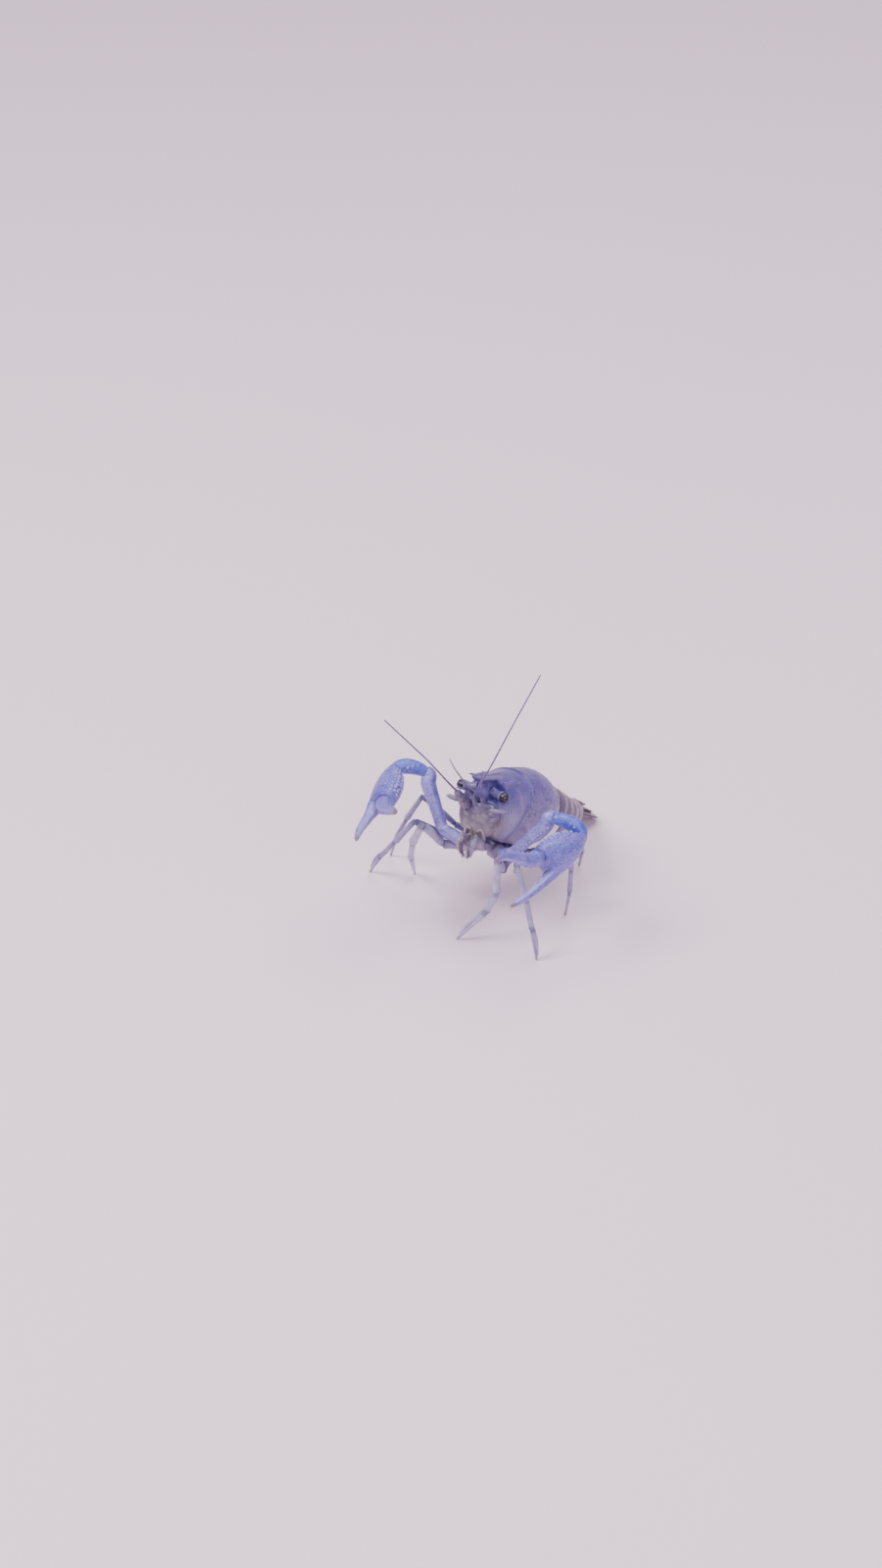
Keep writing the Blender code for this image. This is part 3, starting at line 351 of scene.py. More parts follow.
shellLook = dict(
    base=(0.072, 0.050, 0.255), second=(0.115, 0.082, 0.300), pale=(0.400, 0.340, 0.520),
    dark=(0.026, 0.018, 0.090), warm=(0.200, 0.150, 0.135), patch=260.0, grain=2600.0, mottle=0.25,
    rub=0.5, pits=1350.0, pitSize=0.23, pitDark=0.42, pitDeep=0.5, relief=0.5, gloss=(0.34, 0.50), wet=0.2,
)
clawLook = dict(
    base=(0.130, 0.118, 0.520), second=(0.185, 0.155, 0.560), pale=(0.560, 0.505, 0.760),
    dark=(0.034, 0.032, 0.190), warm=(0.230, 0.100, 0.065), patch=300.0, grain=2400.0, mottle=0.2,
    rub=0.35, pits=960.0, pitSize=0.34, pitDark=0.8, pitDeep=0.6, relief=0.5, gloss=(0.34, 0.48), wet=0.2,
)
wristLook = dict(clawLook, base=(0.050, 0.080, 0.500), second=(0.095, 0.120, 0.550), pitDark=0.55)
legLook = dict(
    base=(0.165, 0.140, 0.335), second=(0.240, 0.195, 0.380), pale=(0.600, 0.540, 0.690),
    dark=(0.050, 0.044, 0.165), warm=(0.225, 0.135, 0.100), patch=420.0, grain=2800.0, mottle=0.22,
    rub=0.4, relief=0.4, gloss=(0.36, 0.52), wet=0.15,
)
tailLook = dict(
    base=(0.084, 0.055, 0.142), second=(0.165, 0.110, 0.185), pale=(0.440, 0.335, 0.400),
    dark=(0.022, 0.014, 0.058), warm=(0.400, 0.280, 0.180), patch=330.0, grain=2300.0, mottle=0.28,
    rub=0.5, pits=1500.0, pitSize=0.2, pitDark=0.4, pitDeep=0.35, relief=0.5, gloss=(0.34, 0.50), wet=0.2,
)
feelerLook = dict(
    base=(0.068, 0.052, 0.145), second=(0.105, 0.082, 0.190), pale=(0.480, 0.430, 0.560),
    dark=(0.024, 0.019, 0.060), warm=(0.200, 0.130, 0.100), patch=500.0, grain=3000.0, mottle=0.22,
    rub=0.4, relief=0.4, gloss=(0.38, 0.54), wet=0.12,
)
eyeLook = dict(
    base=(0.012, 0.008, 0.018), second=(0.022, 0.014, 0.036), pale=(0.20, 0.17, 0.30),
    dark=(0.006, 0.004, 0.010), warm=(0.05, 0.03, 0.03), patch=700.0, grain=6000.0, mottle=0.2,
    rub=0.1, pits=7000.0, pitSize=0.5, pitDark=0.6, pitDeep=0.5, relief=0.14, gloss=(0.26, 0.34), wet=0.25,
)
shellCoat = coat("crayfish_shell", shellLook)
clawCoat = coat("crayfish_claw", clawLook)
wristCoat = coat("crayfish_wrist", wristLook)
legCoat = coat("crayfish_leg", legLook)
tailCoat = coat("crayfish_tail", tailLook)
feelerCoat = coat("crayfish_feeler", feelerLook)
eyeCoat = coat("crayfish_eye", eyeLook)
print("materials made")


# shell

shell = dict(
    rows=(  # a, half width, back, lower edge
        (0.0, 8.0, 6.1, -6.2), (3.0, 9.6, 8.0, -8.8), (7.0, 10.5, 9.6, -10.4), (12.0, 10.8, 10.2, -11.0),
        (18.0, 10.5, 10.1, -11.1), (24.0, 9.8, 9.8, -10.8), (30.0, 8.6, 9.3, -9.8), (34.0, 7.5, 8.9, -8.4),
        (37.0, 6.5, 8.7, -6.8),
    ),
    neck=((0, 20.6), (35, 21.2), (60, 23.0), (90, 26.4), (120, 29.0), (150, 30.0), (180, 30.2)),
    front=((0, 36.6), (25, 35.4), (48, 33.8), (66, 34.6), (82, 36.0), (110, 35.2), (180, 34.0)),
    rear=((0, 0.4), (20, 0.0), (100, 0.0), (140, 1.2), (180, 3.0)),
    widest=-1.6, tuck=2.2, sides=192, thoraxRows=110, headRows=72,
    powers=(2.15, 2.0, 2.4),                 # how square the sides, the back and the lower half are
    seamDepth=0.42, ribDepth=0.16, rimDepth=0.22,
    thoraxGrains=(900, 3, 48, 128, 0.2),     # how many, seed, between which turns, size
    headGrains=(260, 5, 50, 125, 0.17),
    meet=0.12,                               # how far each half goes into the neck's seam
    cheekSpines=((23.2, 72, 0.75), (24.6, 80, 0.4), (22.2, 62, 0.35)),     # a, turn, size
    rimSpines=((35.6, 84, 0.6), (34.4, 67, 0.45)),
)


def shellPoint(a, turn):  # turn 0 on the back, 90 at the left side, -90 at the right
    half, back, edge = (read(shell["rows"], a, k) for k in (1, 2, 3))
    s, k = math.sin(math.radians(turn)), math.cos(math.radians(turn))
    beside, above, below = shell["powers"]
    if k >= 0:
        b = half * swell(s, beside)
        c = shell["widest"] + (back - shell["widest"]) * swell(k, above)
    else:
        b = half * swell(s, below)
        c = max(shell["widest"] + (shell["widest"] - edge + shell["tuck"]) * swell(k, below), edge)
    return onShell(a, b, c)


def shellOut(a, turn):  # the way out of the shell there
    along = shellPoint(a + 0.4, turn) - shellPoint(a - 0.4, turn)
    across = shellPoint(a, turn + 1.5) - shellPoint(a, turn - 1.5)
    return across.cross(along).normalized()


def neckAt(turn):
    return read(shell["neck"], abs(turn))


def shellDepth(a, turn, b):  # how far grooves and rims go in, and gentle unevenness
    depth = 0.0
    neck = neckAt(turn)
    depth += shell["seamDepth"] * bell(a - neck, 0.7)
    if a < neck:
        middle = 0.75 + 2.2 * abs((a - 9.0) / 12.0) ** 2.2      # the two lines beside the narrow back strip
        lengthwise = ease(a, 1.5, 4.0)
        depth += shell["ribDepth"] * bell(abs(b) - middle, 0.35) * lengthwise * ease(neck - a, 0.4, 2.5)
        rim = read(shell["rear"], abs(turn))
        depth += shell["rimDepth"] * bell(a - rim - 1.25, 0.4)
        depth += 0.35 * bell(a - 24.0, 2.2) * bell(abs(turn) - 108, 9.0)
    else:
        front = read(shell["front"], abs(turn))
        depth += shell["rimDepth"] * bell(a - front + 0.9, 0.35) * ease(abs(turn), 50, 70)
        depth += 0.45 * bell(a - 29.0, 1.6) * bell(abs(turn) - 62, 14.0)
        depth += 0.25 * bell(b, 0.5) * ease(a, 27.0, 30.0)
        depth += 0.11 * wrinkle(a, turn)
    return depth


def wrinkle(a, turn):  # fine upright folds on the cheek behind the eye
    wave = 0.5 + 0.5 * math.sin(a * 5.2 + 0.06 * abs(turn))
    return wave * bell(a - 32.3, 2.2) * bell(abs(turn) - 82, 20.0)


def shellSurface(rearRim, frontRim, rows, rearward=0.0, onward=0.0):
    rings = []
    for r in range(rows):
        share = r / (rows - 1)
        ring = []
        for i in range(shell["sides"]):
            turn = -180 + 360 * i / shell["sides"]
            start = read(rearRim, abs(turn)) - rearward
            stop = read(frontRim, abs(turn)) + onward
            a = start + (stop - start) * share
            p = shellPoint(a, turn)
            out = shellOut(a, turn)
            ring.append(p - out * shellDepth(a, turn, p.x))
        rings.append(ring)
    return rings


def shellPaint(p, normal):  # pale, dark, warm
    a, b, c = shellPlace(p)
    turn = math.degrees(math.atan2(b, c - shell["widest"]))
    side = ease(abs(turn), 40, 100)
    pale = 0.22 * side + 0.20 * ease(abs(turn), 80, 130)
    dark = 0.28 * bell(b, 2.4) * ease(c, 4, 8) + 0.25 * bell(a - neckAt(turn), 0.9)
    # the first term darkens the cheek folds: painted shade in the creases
    dark += 0.24 * wrinkle(a, turn) + 0.10 * ease(a, 31, 36) * ease(c, -4, 1) * ease(8 - c, 0, 3)
    pale += 0.20 * ease(a, 27, 33) * ease(3 - c, 0, 5) + 0.15 * ease(a, 34, 36) * ease(-c, 6, 9)
    dark += 0.42 * ease(a, 33.5, 35.5) * bell(c + 4.6, 2.8) * (0.8 + noise.noise(p * 0.7))
    pale += 0.22 * bell(a - 30.5, 3.0) * bell(abs(turn) - 100, 25)
    if a < 3:
        dark += 0.25 * bell(a - 1.5, 0.8)
        pale += 0.3 * bell(a, 0.7)
    dark += 0.16 * noise.noise(p * 0.35) * (1 - side)
    warm = 0.62 * ease(a, 29, 35.5) * ease(-c, 0.0, 4.5) + 0.15 * ease(abs(turn), 105, 150)
    if c > 8.2 and a > 33 and abs(b) < 4:
        pale += 0.35 * bell(abs(b) - read(beak["rows"], a) * 0.85, 0.3)
        dark += 0.1 * bell(b, 1.0)
    return pale, max(dark, 0.0), warm


def granulate(clay, count, seed, low, high, size, inside):  # fine grains between two turns of both sides
    draw = random.Random(seed)
    for _ in range(count):
        turn = draw.uniform(low, high) * draw.choice((-1, 1))
        a = draw.uniform(1.5, 36)
        if not inside(a, turn):
            continue
        p = shellPoint(a, turn)
        out = shellOut(a, turn)
        p -= out * shellDepth(a, turn, p.x)
        clay.bump(p, out, size * draw.uniform(0.7, 1.2), size * 0.75, sides=7, lean=forward * 0.5)


def makeThorax():
    clay = Clay()
    # the rear rim is turned in, and the seam's edge closed a little smaller
    rings = shellSurface(shell["rear"], shell["neck"], shell["thoraxRows"], onward=shell["meet"])
    inner = [[p + (onShell(24, 0, 0) - p) * 0.05 for p in rings[-1]]]
    rear = [[p + (onShell(3, 0, 0) - p) * k - forward * d for p in rings[0]]
            for k, d in ((0.10, -0.2), (0.05, 0.18))]
    clay.rings(rear + rings + inner, middles=(onShell(0.4, 0, 0.5), onShell(23.6, 0, 1.0)))
    for hand in hands.values():
        for a, turn, size in shell["cheekSpines"]:
            out = shellOut(a, hand * turn)
            lean = forward * 0.9 + out * 0.2
            clay.bump(shellPoint(a, hand * turn), out, size, size * 1.7, "spine", 10, lean)
    granulate(clay, *shell["thoraxGrains"],
              lambda a, turn: a < neckAt(turn) - 0.8 and a > read(shell["rear"], abs(turn)) + 2)
    makePiece("thoraxShell", clay, shellCoat, ["thorax_shell"], shellPaint)


face = dict(  # block, bridge and mouth: a, half width, middle, half height
    block=((31.0, 5.8, -1.6, 4.0), (35.6, 5.9, -1.6, 4.0), (36.4, 5.6, -1.6, 3.7), (36.7, 4.8, -1.6, 3.2)),
    bridge=((31.0, 2.1, 4.2, 3.4), (37.6, 2.1, 4.6, 3.2), (38.3, 1.6, 5.2, 2.4)),
    mouth=((31.2, 4.0, -5.6, 3.4), (34.6, 5.3, -5.9, 4.1), (36.2, 4.6, -5.8, 3.6), (36.9, 3.2, -5.6, 2.4),
           (37.1, 2.2, -5.5, 1.6), (37.2, 0.9, -5.4, 0.7)),
    folds=(  # raised lines across the face, each from its middle outward: along, across, up, radius
        ((36.9, 0.0, -3.1, 0.3), (36.8, 1.6, -3.5, 0.32), (36.5, 3.1, -4.5, 0.3), (35.9, 4.4, -6.2, 0.2)),
        ((37.2, 0.0, -4.6, 0.34), (37.1, 1.2, -5.1, 0.3), (36.7, 2.4, -6.2, 0.25), (36.0, 3.2, -7.6, 0.15)),
        ((36.6, 0.0, -2.2, 0.45), (36.9, 0.0, -3.0, 0.4), (37.2, 0.0, -4.2, 0.3), (37.2, 0.0, -5.2, 0.15))),
    ridge=((25.5, 0.25), (28.0, 0.6), (31.0, 0.65), (33.4, 0.55)), ridgeTurn=33,
    glandKnob=(36.5, 3.9, -3.3), glandSize=(0.7, 0.5, 0.6),
    voxel=0.17,
)
beak = dict(
    rows=(  # a, half width, height of the raised margins
        (30.0, 3.3, 8.7), (34.0, 3.1, 9.2), (37.5, 2.8, 9.2), (41.0, 2.3, 9.0),
        (43.6, 1.8, 8.9), (45.2, 0.9, 8.9), (47.2, 0.15, 9.3)),
    steps=70, length=17.2, beads=15, spine=(43.3, 1.75, 8.8), spineSize=(0.42, 2.1),
)


def faceRings(rows, power, sides=48, steps=24):
    rings = []
    for r in range(steps):
        a = rows[0][0] + (rows[-1][0] - rows[0][0]) * r / (steps - 1)
        wide, middle, high = (read(rows, a, k) for k in (1, 2, 3))
        rings.append([onShell(a, wide * swell(math.cos(t), power), middle + high * swell(math.sin(t), power))
                      for t in circle(sides)])
    return rings


def beakRings():
    rings = []
    for r in range(beak["steps"]):
        a = beak["rows"][0][0] + beak["length"] * r / (beak["steps"] - 1)
        half, top = read(beak["rows"], a, 1), read(beak["rows"], a, 2)
        rim = min(0.55, 0.34 * half)
        deep = 0.62 * half + 0.15
        ring = []
        for i in range(15):
            x = 1 - 2 * i / 14
            hollow = rim * max(0.0, 1 - (x / 0.74) ** 2)
            fall = 0.5 * deep * max(0.0, (abs(x) - 0.8) / 0.2) ** 2
            ring.append(onShell(a, half * x, top - hollow - fall))
        for i in range(1, 14):
            x = -1 + 2 * i / 14
            ring.append(onShell(a, half * x * 0.96,
                                top - 0.5 * deep - rim * 0.5 - 0.5 * deep * (1 - x * x) ** 0.7))
        rings.append(ring)
    return rings


def makeHead():
    clay = Clay()
    rings = shellSurface(shell["neck"], shell["front"], shell["headRows"], rearward=shell["meet"])
    inner = [[p + (onShell(24, 0, 0) - p) * 0.05 for p in rings[0]]]
    clay.rings(inner + rings, middles=(onShell(24.2, 0, 1.0), onShell(33.6, 0, 1.0)))
    for part, power in (("block", 2.6), ("bridge", 3.0), ("mouth", 2.0)):
        clay.rings(faceRings(face[part], power))
    clay.rings(beakRings())
    for hand in hands.values():
        way = forward + sideways * hand * 0.35 + upward * 0.15
        clay.bump(onSide(beak["spine"], hand), way, *beak["spineSize"], "spine", 12)
        ridge = [(shellPoint(a, hand * face["ridgeTurn"]), r, r) for a, r in face["ridge"]]
        ridge.append((ridge[-1][0] + forward * 1.6 + upward * 0.4, 0.1, 0.1))
        clay.limb(ridge, sideways, 12, 30)
        for a, turn, size in shell["rimSpines"]:
            out = shellOut(a - 1.5, hand * turn)
            clay.bump(shellPoint(a - 0.6, hand * turn) - out * 0.3, forward, size, size * 2.6, "spine", 10)
        clay.ball(onSide(face["glandKnob"], hand), face["glandSize"], shellAxes)
        for fold in face["folds"]:
            clay.limb([(onSide(place, hand), r, r) for *place, r in fold], forward, 12, 30)
    makePiece("headShell", clay, shellCoat, ["head_shell"], shellPaint, face["voxel"])


def makeHeadGranules():
    clay = Clay()
    granulate(clay, *shell["headGrains"],
              lambda a, turn: neckAt(turn) + 0.9 < a < read(shell["front"], abs(turn)) - 1.3)
    draw = random.Random(seeds["beads"])
    for hand in hands.values():
        for step in range(beak["beads"]):                     # fine beads along the beak's edges
            a = 34.0 + 9.0 * step / (beak["beads"] - 1) + draw.uniform(-0.2, 0.2)
            clay.bump(onShell(a, hand * read(beak["rows"], a) * 0.95, read(beak["rows"], a, 2) - 0.12),
                      upward + sideways * hand, 0.10 * draw.uniform(0.6, 1.3), 0.09, sides=6)
    makePiece("headGranules", clay, shellCoat, [], palePaint(0.30))


makeThorax()
makeHead()
makeHeadGranules()
print("shell made")


# claws

claws = dict(
    along=28.5, hip=((2.6, -13.0), (6.0, -13.4)),              # where on the shell their roots are
    elbow={"left": Vector((10.1, 3.2, 26.9)), "right": Vector((-14.0, 4.6, 27.0))},
    armEnd={"left": Vector((21.9, 7.7, 40.8)), "right": Vector((-22.2, 8.3, 42.2))},
    wristEnd={"left": Vector((30.3, 8.8, 36.6)), "right": Vector((-28.6, 1.8, 44.7))},
    fixedTip={"left": Vector((27.3, -27.5, 32.2)), "right": Vector((-20.7, -33.0, 41.8))},
    movingTip={"left": Vector((21.0, -24.9, 44.1)), "right": Vector((-11.2, -27.4, 51.2))},
    spread={"left": 2.0, "right": 0.0},      # how far a palm stands out towards its moving finger
    broad={"left": 1.16, "right": 1.1},
    wristShare=0.36, armShare=0.6,           # how far the cuts before and after a wrist turn
    palm=(  # s, centre across, half width, half thickness
        (0.0, 0.0, 1.9, 1.8), (1.7, 0.1, 2.6, 2.4), (3.7, 0.2, 3.6, 3.0), (6.4, 0.3, 4.4, 3.5),
        (10.0, 0.4, 4.75, 3.7), (13.5, 0.45, 4.7, 3.5), (15.8, 0.5, 4.45, 3.2)),
    fixed=(
        (12.0, -2.0, 1.7, 2.1), (14.0, -2.2, 1.85, 2.4), (16.3, -2.3, 1.75, 2.45), (18.5, -2.4, 1.5, 1.95),
        (22.0, -2.3, 1.3, 1.55), (26.0, -1.9, 1.15, 1.3), (30.0, -1.25, 1.0, 1.1), (33.0, -0.7, 0.75, 0.8),
        (34.4, -0.33, 0.52, 0.55), (35.0, -0.2, 0.3, 0.32)),
    finger=(  # share of the length, half width, half thickness
        (0.0, 1.8, 2.1), (0.1, 2.05, 2.3), (0.24, 1.9, 2.0), (0.42, 1.6, 1.7),
        (0.62, 1.3, 1.35), (0.8, 1.0, 1.05), (0.93, 0.65, 0.7), (1.0, 0.33, 0.36)),
    wrist=(
        (0.0, 1.65, 1.65), (0.16, 2.0, 1.9), (0.36, 2.3, 2.1), (0.6, 2.42, 2.2), (0.82, 2.25, 2.05),
        (1.0, 1.75, 1.7)),
    fingerRoot=(16.4, 2.4, -1.1), bow=0.36, sag=1.2,
    voxel=0.17, fingerVoxel=0.14,
)
tubercles = dict(
    palm=(  # turn from the inner edge, size, how many
        (-26, 0.30, 9), (-10, 0.42, 9), (7, 0.50, 9), (24, 0.42, 8), (41, 0.31, 8), (58, 0.24, 7),
        (76, 0.19, 6), (104, 0.14, 6), (128, 0.14, 6), (150, 0.15, 7), (172, 0.17, 7), (-48, 0.20, 7),
        (-70, 0.15, 6)),
    arm=(  # lean to the side, size, how many
        (0.2, 0.36, 12), (-0.75, 0.36, 12), (-0.25, 0.2, 11), (0.8, 0.18, 9)),
    armTop=(  # lean to the side, share of the length, size
        (0.0, 0.9, 0.4), (0.5, 0.84, 0.3), (-0.4, 0.8, 0.25)),
    wrist=(  # share of the length, turn from its upper side, size
        (0.32, -0.3, 0.45), (0.5, -0.5, 0.6), (0.68, -0.6, 0.7), (0.42, 0.4, 0.4), (0.6, 0.3, 0.45),
        (0.52, 1.2, 0.35), (0.78, 0.0, 0.5), (0.74, 0.9, 0.35)),
    wristExtra=34,
    finger=(  # share of the length, lean, size
        (0.1, -0.6, 0.4), (0.12, 0.6, 0.42), (0.12, 0.0, 0.42), (0.22, -0.5, 0.36), (0.24, 0.5, 0.38),
        (0.32, 0.0, 0.34), (0.42, 0.3, 0.3), (0.5, -0.2, 0.25), (0.56, 0.4, 0.24), (0.66, 0.1, 0.2)),
    palmTeeth=17, palmFangs=(2, 5), fingerTeeth=14, fingerFangs=(2, 4),        # fangs: which teeth are large
)


def bendPlane(before, corner, after):  # the way square to a bend
    return ((corner - before).normalized() + (after - corner).normalized()).normalized()


def clawAxes(name):  # the palm's start, the ways along it, towards its moving finger and over it
    start = claws["wristEnd"][name]
    along = (claws["fixedTip"][name] - start).normalized()
    spread = claws["movingTip"][name] - claws["fixedTip"][name]
    across = (spread - along * spread.dot(along)).normalized()
    return start, along, across, along.cross(across) * -hands[name]


def palmLift(s):  # the palm and its finger sag a little between their ends
    return -claws["sag"] * math.sin(math.pi * min(s / 30.0, 1.0))


def inClaw(name, s, w, t):
    start, along, across, over = clawAxes(name)
    return start + along * s + across * w + over * t


def clawPlace(name, p):  # the way back: s, w, t of a place
    start, along, across, over = clawAxes(name)
    return (p - start).dot(along), (p - start).dot(across), (p - start).dot(over)


def reachOf(name, s):  # the fixed finger's rows drawn out to its own tip
    full = (claws["fixedTip"][name] - claws["wristEnd"][name]).length
    return 16.3 + (s - 16.3) * (full - 16.6) / 18.7 if s > 16.3 else s


def wristCut(name, which):  # the way square to the cut before the palm or the wrist
    start, along = clawAxes(name)[:2]
    arm = (claws["armEnd"][name] - claws["elbow"][name]).normalized()
    way = (start - claws["armEnd"][name]).normalized()
    if which == "palm":
        return (way * claws["wristShare"] + along * (1 - claws["wristShare"])).normalized()
    return (arm * (1 - claws["armShare"]) + way * claws["armShare"]).normalized()


def onBow(knots, t):  # place and heading on a curve drawn out by four points
    a, b, c, d = knots
    u = 1 - t
    way = 3 * u * u * (b - a) + 6 * u * t * (c - b) + 3 * t * t * (d - c)
    return u**3 * a + 3 * u * u * t * b + 3 * u * t * t * c + t**3 * d, way.normalized()


def clawRow(name, rows, s):  # centre across, half width, half thickness
    out = claws["spread"][name] / 2 * min(s / 13.5, 1.0) if rows is claws["palm"] else 0.0
    return read(rows, s, 1) + out, read(rows, s, 2) + out, read(rows, s, 3)


def clawRing(name, rows, s, scale=1.0, push=0.0, lean=0.0, sides=52, power=2.3, ridges=0.0):
    along, across = clawAxes(name)[1:3]
    w, half, thick = clawRow(name, rows, s)
    reach = reachOf(name, s)
    centre = inClaw(name, reach + push, w, palmLift(reach))
    way = (wristCut(name, "palm") * lean + along * (1 - lean)).normalized()
    side = (across - way * across.dot(way)).normalized()
    top = way.cross(side)
    ring = []
    for t in circle(sides):
        grow = scale * (1 + ridges * math.cos(6 * t))
        ring.append(centre + side * (half * grow * swell(math.cos(t), power))
                    + top * (thick * grow * swell(math.sin(t), power)))
    return ring


def palmSpot(name, s, turn):  # a place on the palm and the way out of it, turn 0 at the inner edge
    across, over = clawAxes(name)[2:]
    w, half, thick = clawRow(name, claws["palm"], s)
    x = swell(math.cos(math.radians(turn)), 2.3)
    y = swell(math.sin(math.radians(turn)), 2.3)
    out = (across * (x / half) + over * (y / thick)).normalized()
    return inClaw(name, s, w + half * x, palmLift(s) + thick * y), out


def clawPaint(name):
    full = (claws["fixedTip"][name] - claws["wristEnd"][name]).length

    def paint(p, normal):
        s, w, t = clawPlace(name, p)
        finger = ease(s, 15.5, 19.0)
        edge = ease(normal.dot(clawAxes(name)[2]), 0.1, 0.9)
        pale = 0.30 * finger * edge + 0.05 * finger + 0.10 * ease(-t, 0.5, 3.5)
        dark = (0.20 * bell(w - 0.2, 1.6) * (1 - finger) * ease(t, 0, 3)
                + 0.45 * bell(s - 15.9, 0.8) * ease(w, -1, 1))
        dark += 0.22 * ease(noise.noise(p * 0.33), 0.0, 0.4)
        dark += 0.25 * finger * bell(abs(w + 2.4), 0.5) * ease(t, 0.2, 1.2)
        warm = ease(s, full - 3.0, full - 0.6) * 0.75
        return pale * (1 - warm), min(dark, 0.8), warm
    return paint


def makePalm(name):
    clay = Clay()
    rings = []
    leaning = ((0.0, 1.0), (1.7, 0.6), (3.7, 0.2), (6.4, 0.0))
    for k, shift in ((0.35, -0.35), (0.7, -0.28), (0.92, -0.12)):
        rings.append(clawRing(name, claws["palm"], 0.0, k, shift, 1.0))
    for i in range(46):
        s = 15.8 * i / 45
        rings.append(clawRing(name, claws["palm"], s, 1.0, 0.0, read(leaning, s)))
    for k, shift in ((0.95, 0.35), (0.8, 0.65), (0.5, 0.8)):
        rings.append(clawRing(name, claws["palm"], 15.8, k, shift))
    clay.rings(rings)
    rings = [clawRing(name, claws["fixed"], 12.0 + 23.0 * i / 60, sides=44, ridges=0.02) for i in range(61)]
    for k, shift in ((0.8, 0.2), (0.4, 0.35)):
        rings.append(clawRing(name, claws["fixed"], 35.0, k, shift, sides=44))
    clay.rings(rings)
    across = clawAxes(name)[2]
    draw = random.Random(seeds["palm"])
    for i in range(tubercles["palmTeeth"]):                   # along the finger's inner edge
        s = 18.2 + 0.95 * i
        size = (0.72 if i in tubercles["palmFangs"] else 0.42) * (1 - 0.02 * i) * draw.uniform(0.85, 1.1)
        edge = read(claws["fixed"], s, 1) + read(claws["fixed"], s, 2)
        reach = reachOf(name, s)
        clay.bump(inClaw(name, reach, edge - 0.1, palmLift(reach)), across, size, size * 1.2, "tooth", 10)
    node = "claw_{}_palm".format(name)
    makePiece(name + "Palm", clay, clawCoat, [node], clawPaint(name), claws["voxel"])


def makeTubercles(name):
    clay = Clay()
    along = clawAxes(name)[1]
    draw = random.Random(seeds["tubercles"][name])
    for row, (turn, size, count) in enumerate(tubercles["palm"]):
        for step in range(count):
            s = 2.6 + 12.0 * (step + 0.5 * (row % 2)) / count + draw.uniform(-0.35, 0.35)
            place, out = palmSpot(name, s, turn + draw.uniform(-3, 3))
            grow = size * draw.uniform(0.8, 1.15) * (0.75 + 0.25 * ease(s, 3, 9))
            clay.bump(place, out, grow, grow * 0.95, "dome", 12, along * 0.7)
    start, end = claws["elbow"][name], claws["armEnd"][name]
    way = (end - start).normalized()
    edge = (forward - way * forward.dot(way)).normalized()
    inward = way.cross(edge) * -hands[name]
    for row, (side, size, count) in enumerate(tubercles["arm"]):
        for step in range(count):                             # under the arm's long length
            t = 0.10 + 0.80 * (step + 0.25 * (row % 2) + draw.uniform(-0.15, 0.15)) / count
            out = (edge + inward * side).normalized()
            half = 1.72 + 0.75 * t
            grow = size * draw.uniform(0.8, 1.15)
            clay.bump(start.lerp(end, t) + out * (half - 0.08), out, grow, grow * 1.9, "spine", 10, way * 0.5)
    for turn, t, size in tubercles["armTop"]:
        out = (-forward + way * way.dot(forward)).normalized()
        out = (out + inward * turn).normalized()
        clay.bump(start.lerp(end, t) + out * 2.15, out, size, size * 1.8, "spine", 10, way * 0.5)
    makePiece(name + "Tubercles", clay, clawCoat, [], palePaint(0.48))
    clay = Clay()
    knots, upper = wristBow(name)
    spines = list(tubercles["wrist"])
    for _ in range(tubercles["wristExtra"]):
        spines.append((draw.uniform(0.25, 0.9), draw.uniform(-1.6, 1.6), draw.uniform(0.14, 0.26)))
    for t, turn, size in spines:
        place, heading = onBow(knots, t)
        outer = upper.cross(heading).normalized() * hands[name]
        out = upper * math.cos(turn) + outer * math.sin(turn)
        wide, thick = read(claws["wrist"], t, 1), read(claws["wrist"], t, 2)
        far = 1 / math.sqrt((math.cos(turn) / wide) ** 2 + (math.sin(turn) / thick) ** 2)
        kind, tall = ("spine", 1.4) if size > 0.42 else ("dome", 1.0)
        clay.bump(place + out * (far - 0.05), out, size * 0.85, size * tall, kind, 10, heading * 0.5)
    makePiece(name + "WristSpines", clay, wristCoat, [], palePaint(0.4))


def fingerBow(name):
    along, across = clawAxes(name)[1:3]
    s, w, t = claws["fingerRoot"]
    begin = inClaw(name, s + gap, w + 0.9 * claws["spread"][name], t)
    tip = claws["movingTip"][name]
    reach = (tip - begin).length
    return begin, begin + along * reach * 0.3, begin + along * reach * 0.5 + across * reach * 0.48, tip


def fingerHalf(name, t):
    return read(claws["finger"], t) * (1 + (claws["broad"][name] - 1) * (1 - t))


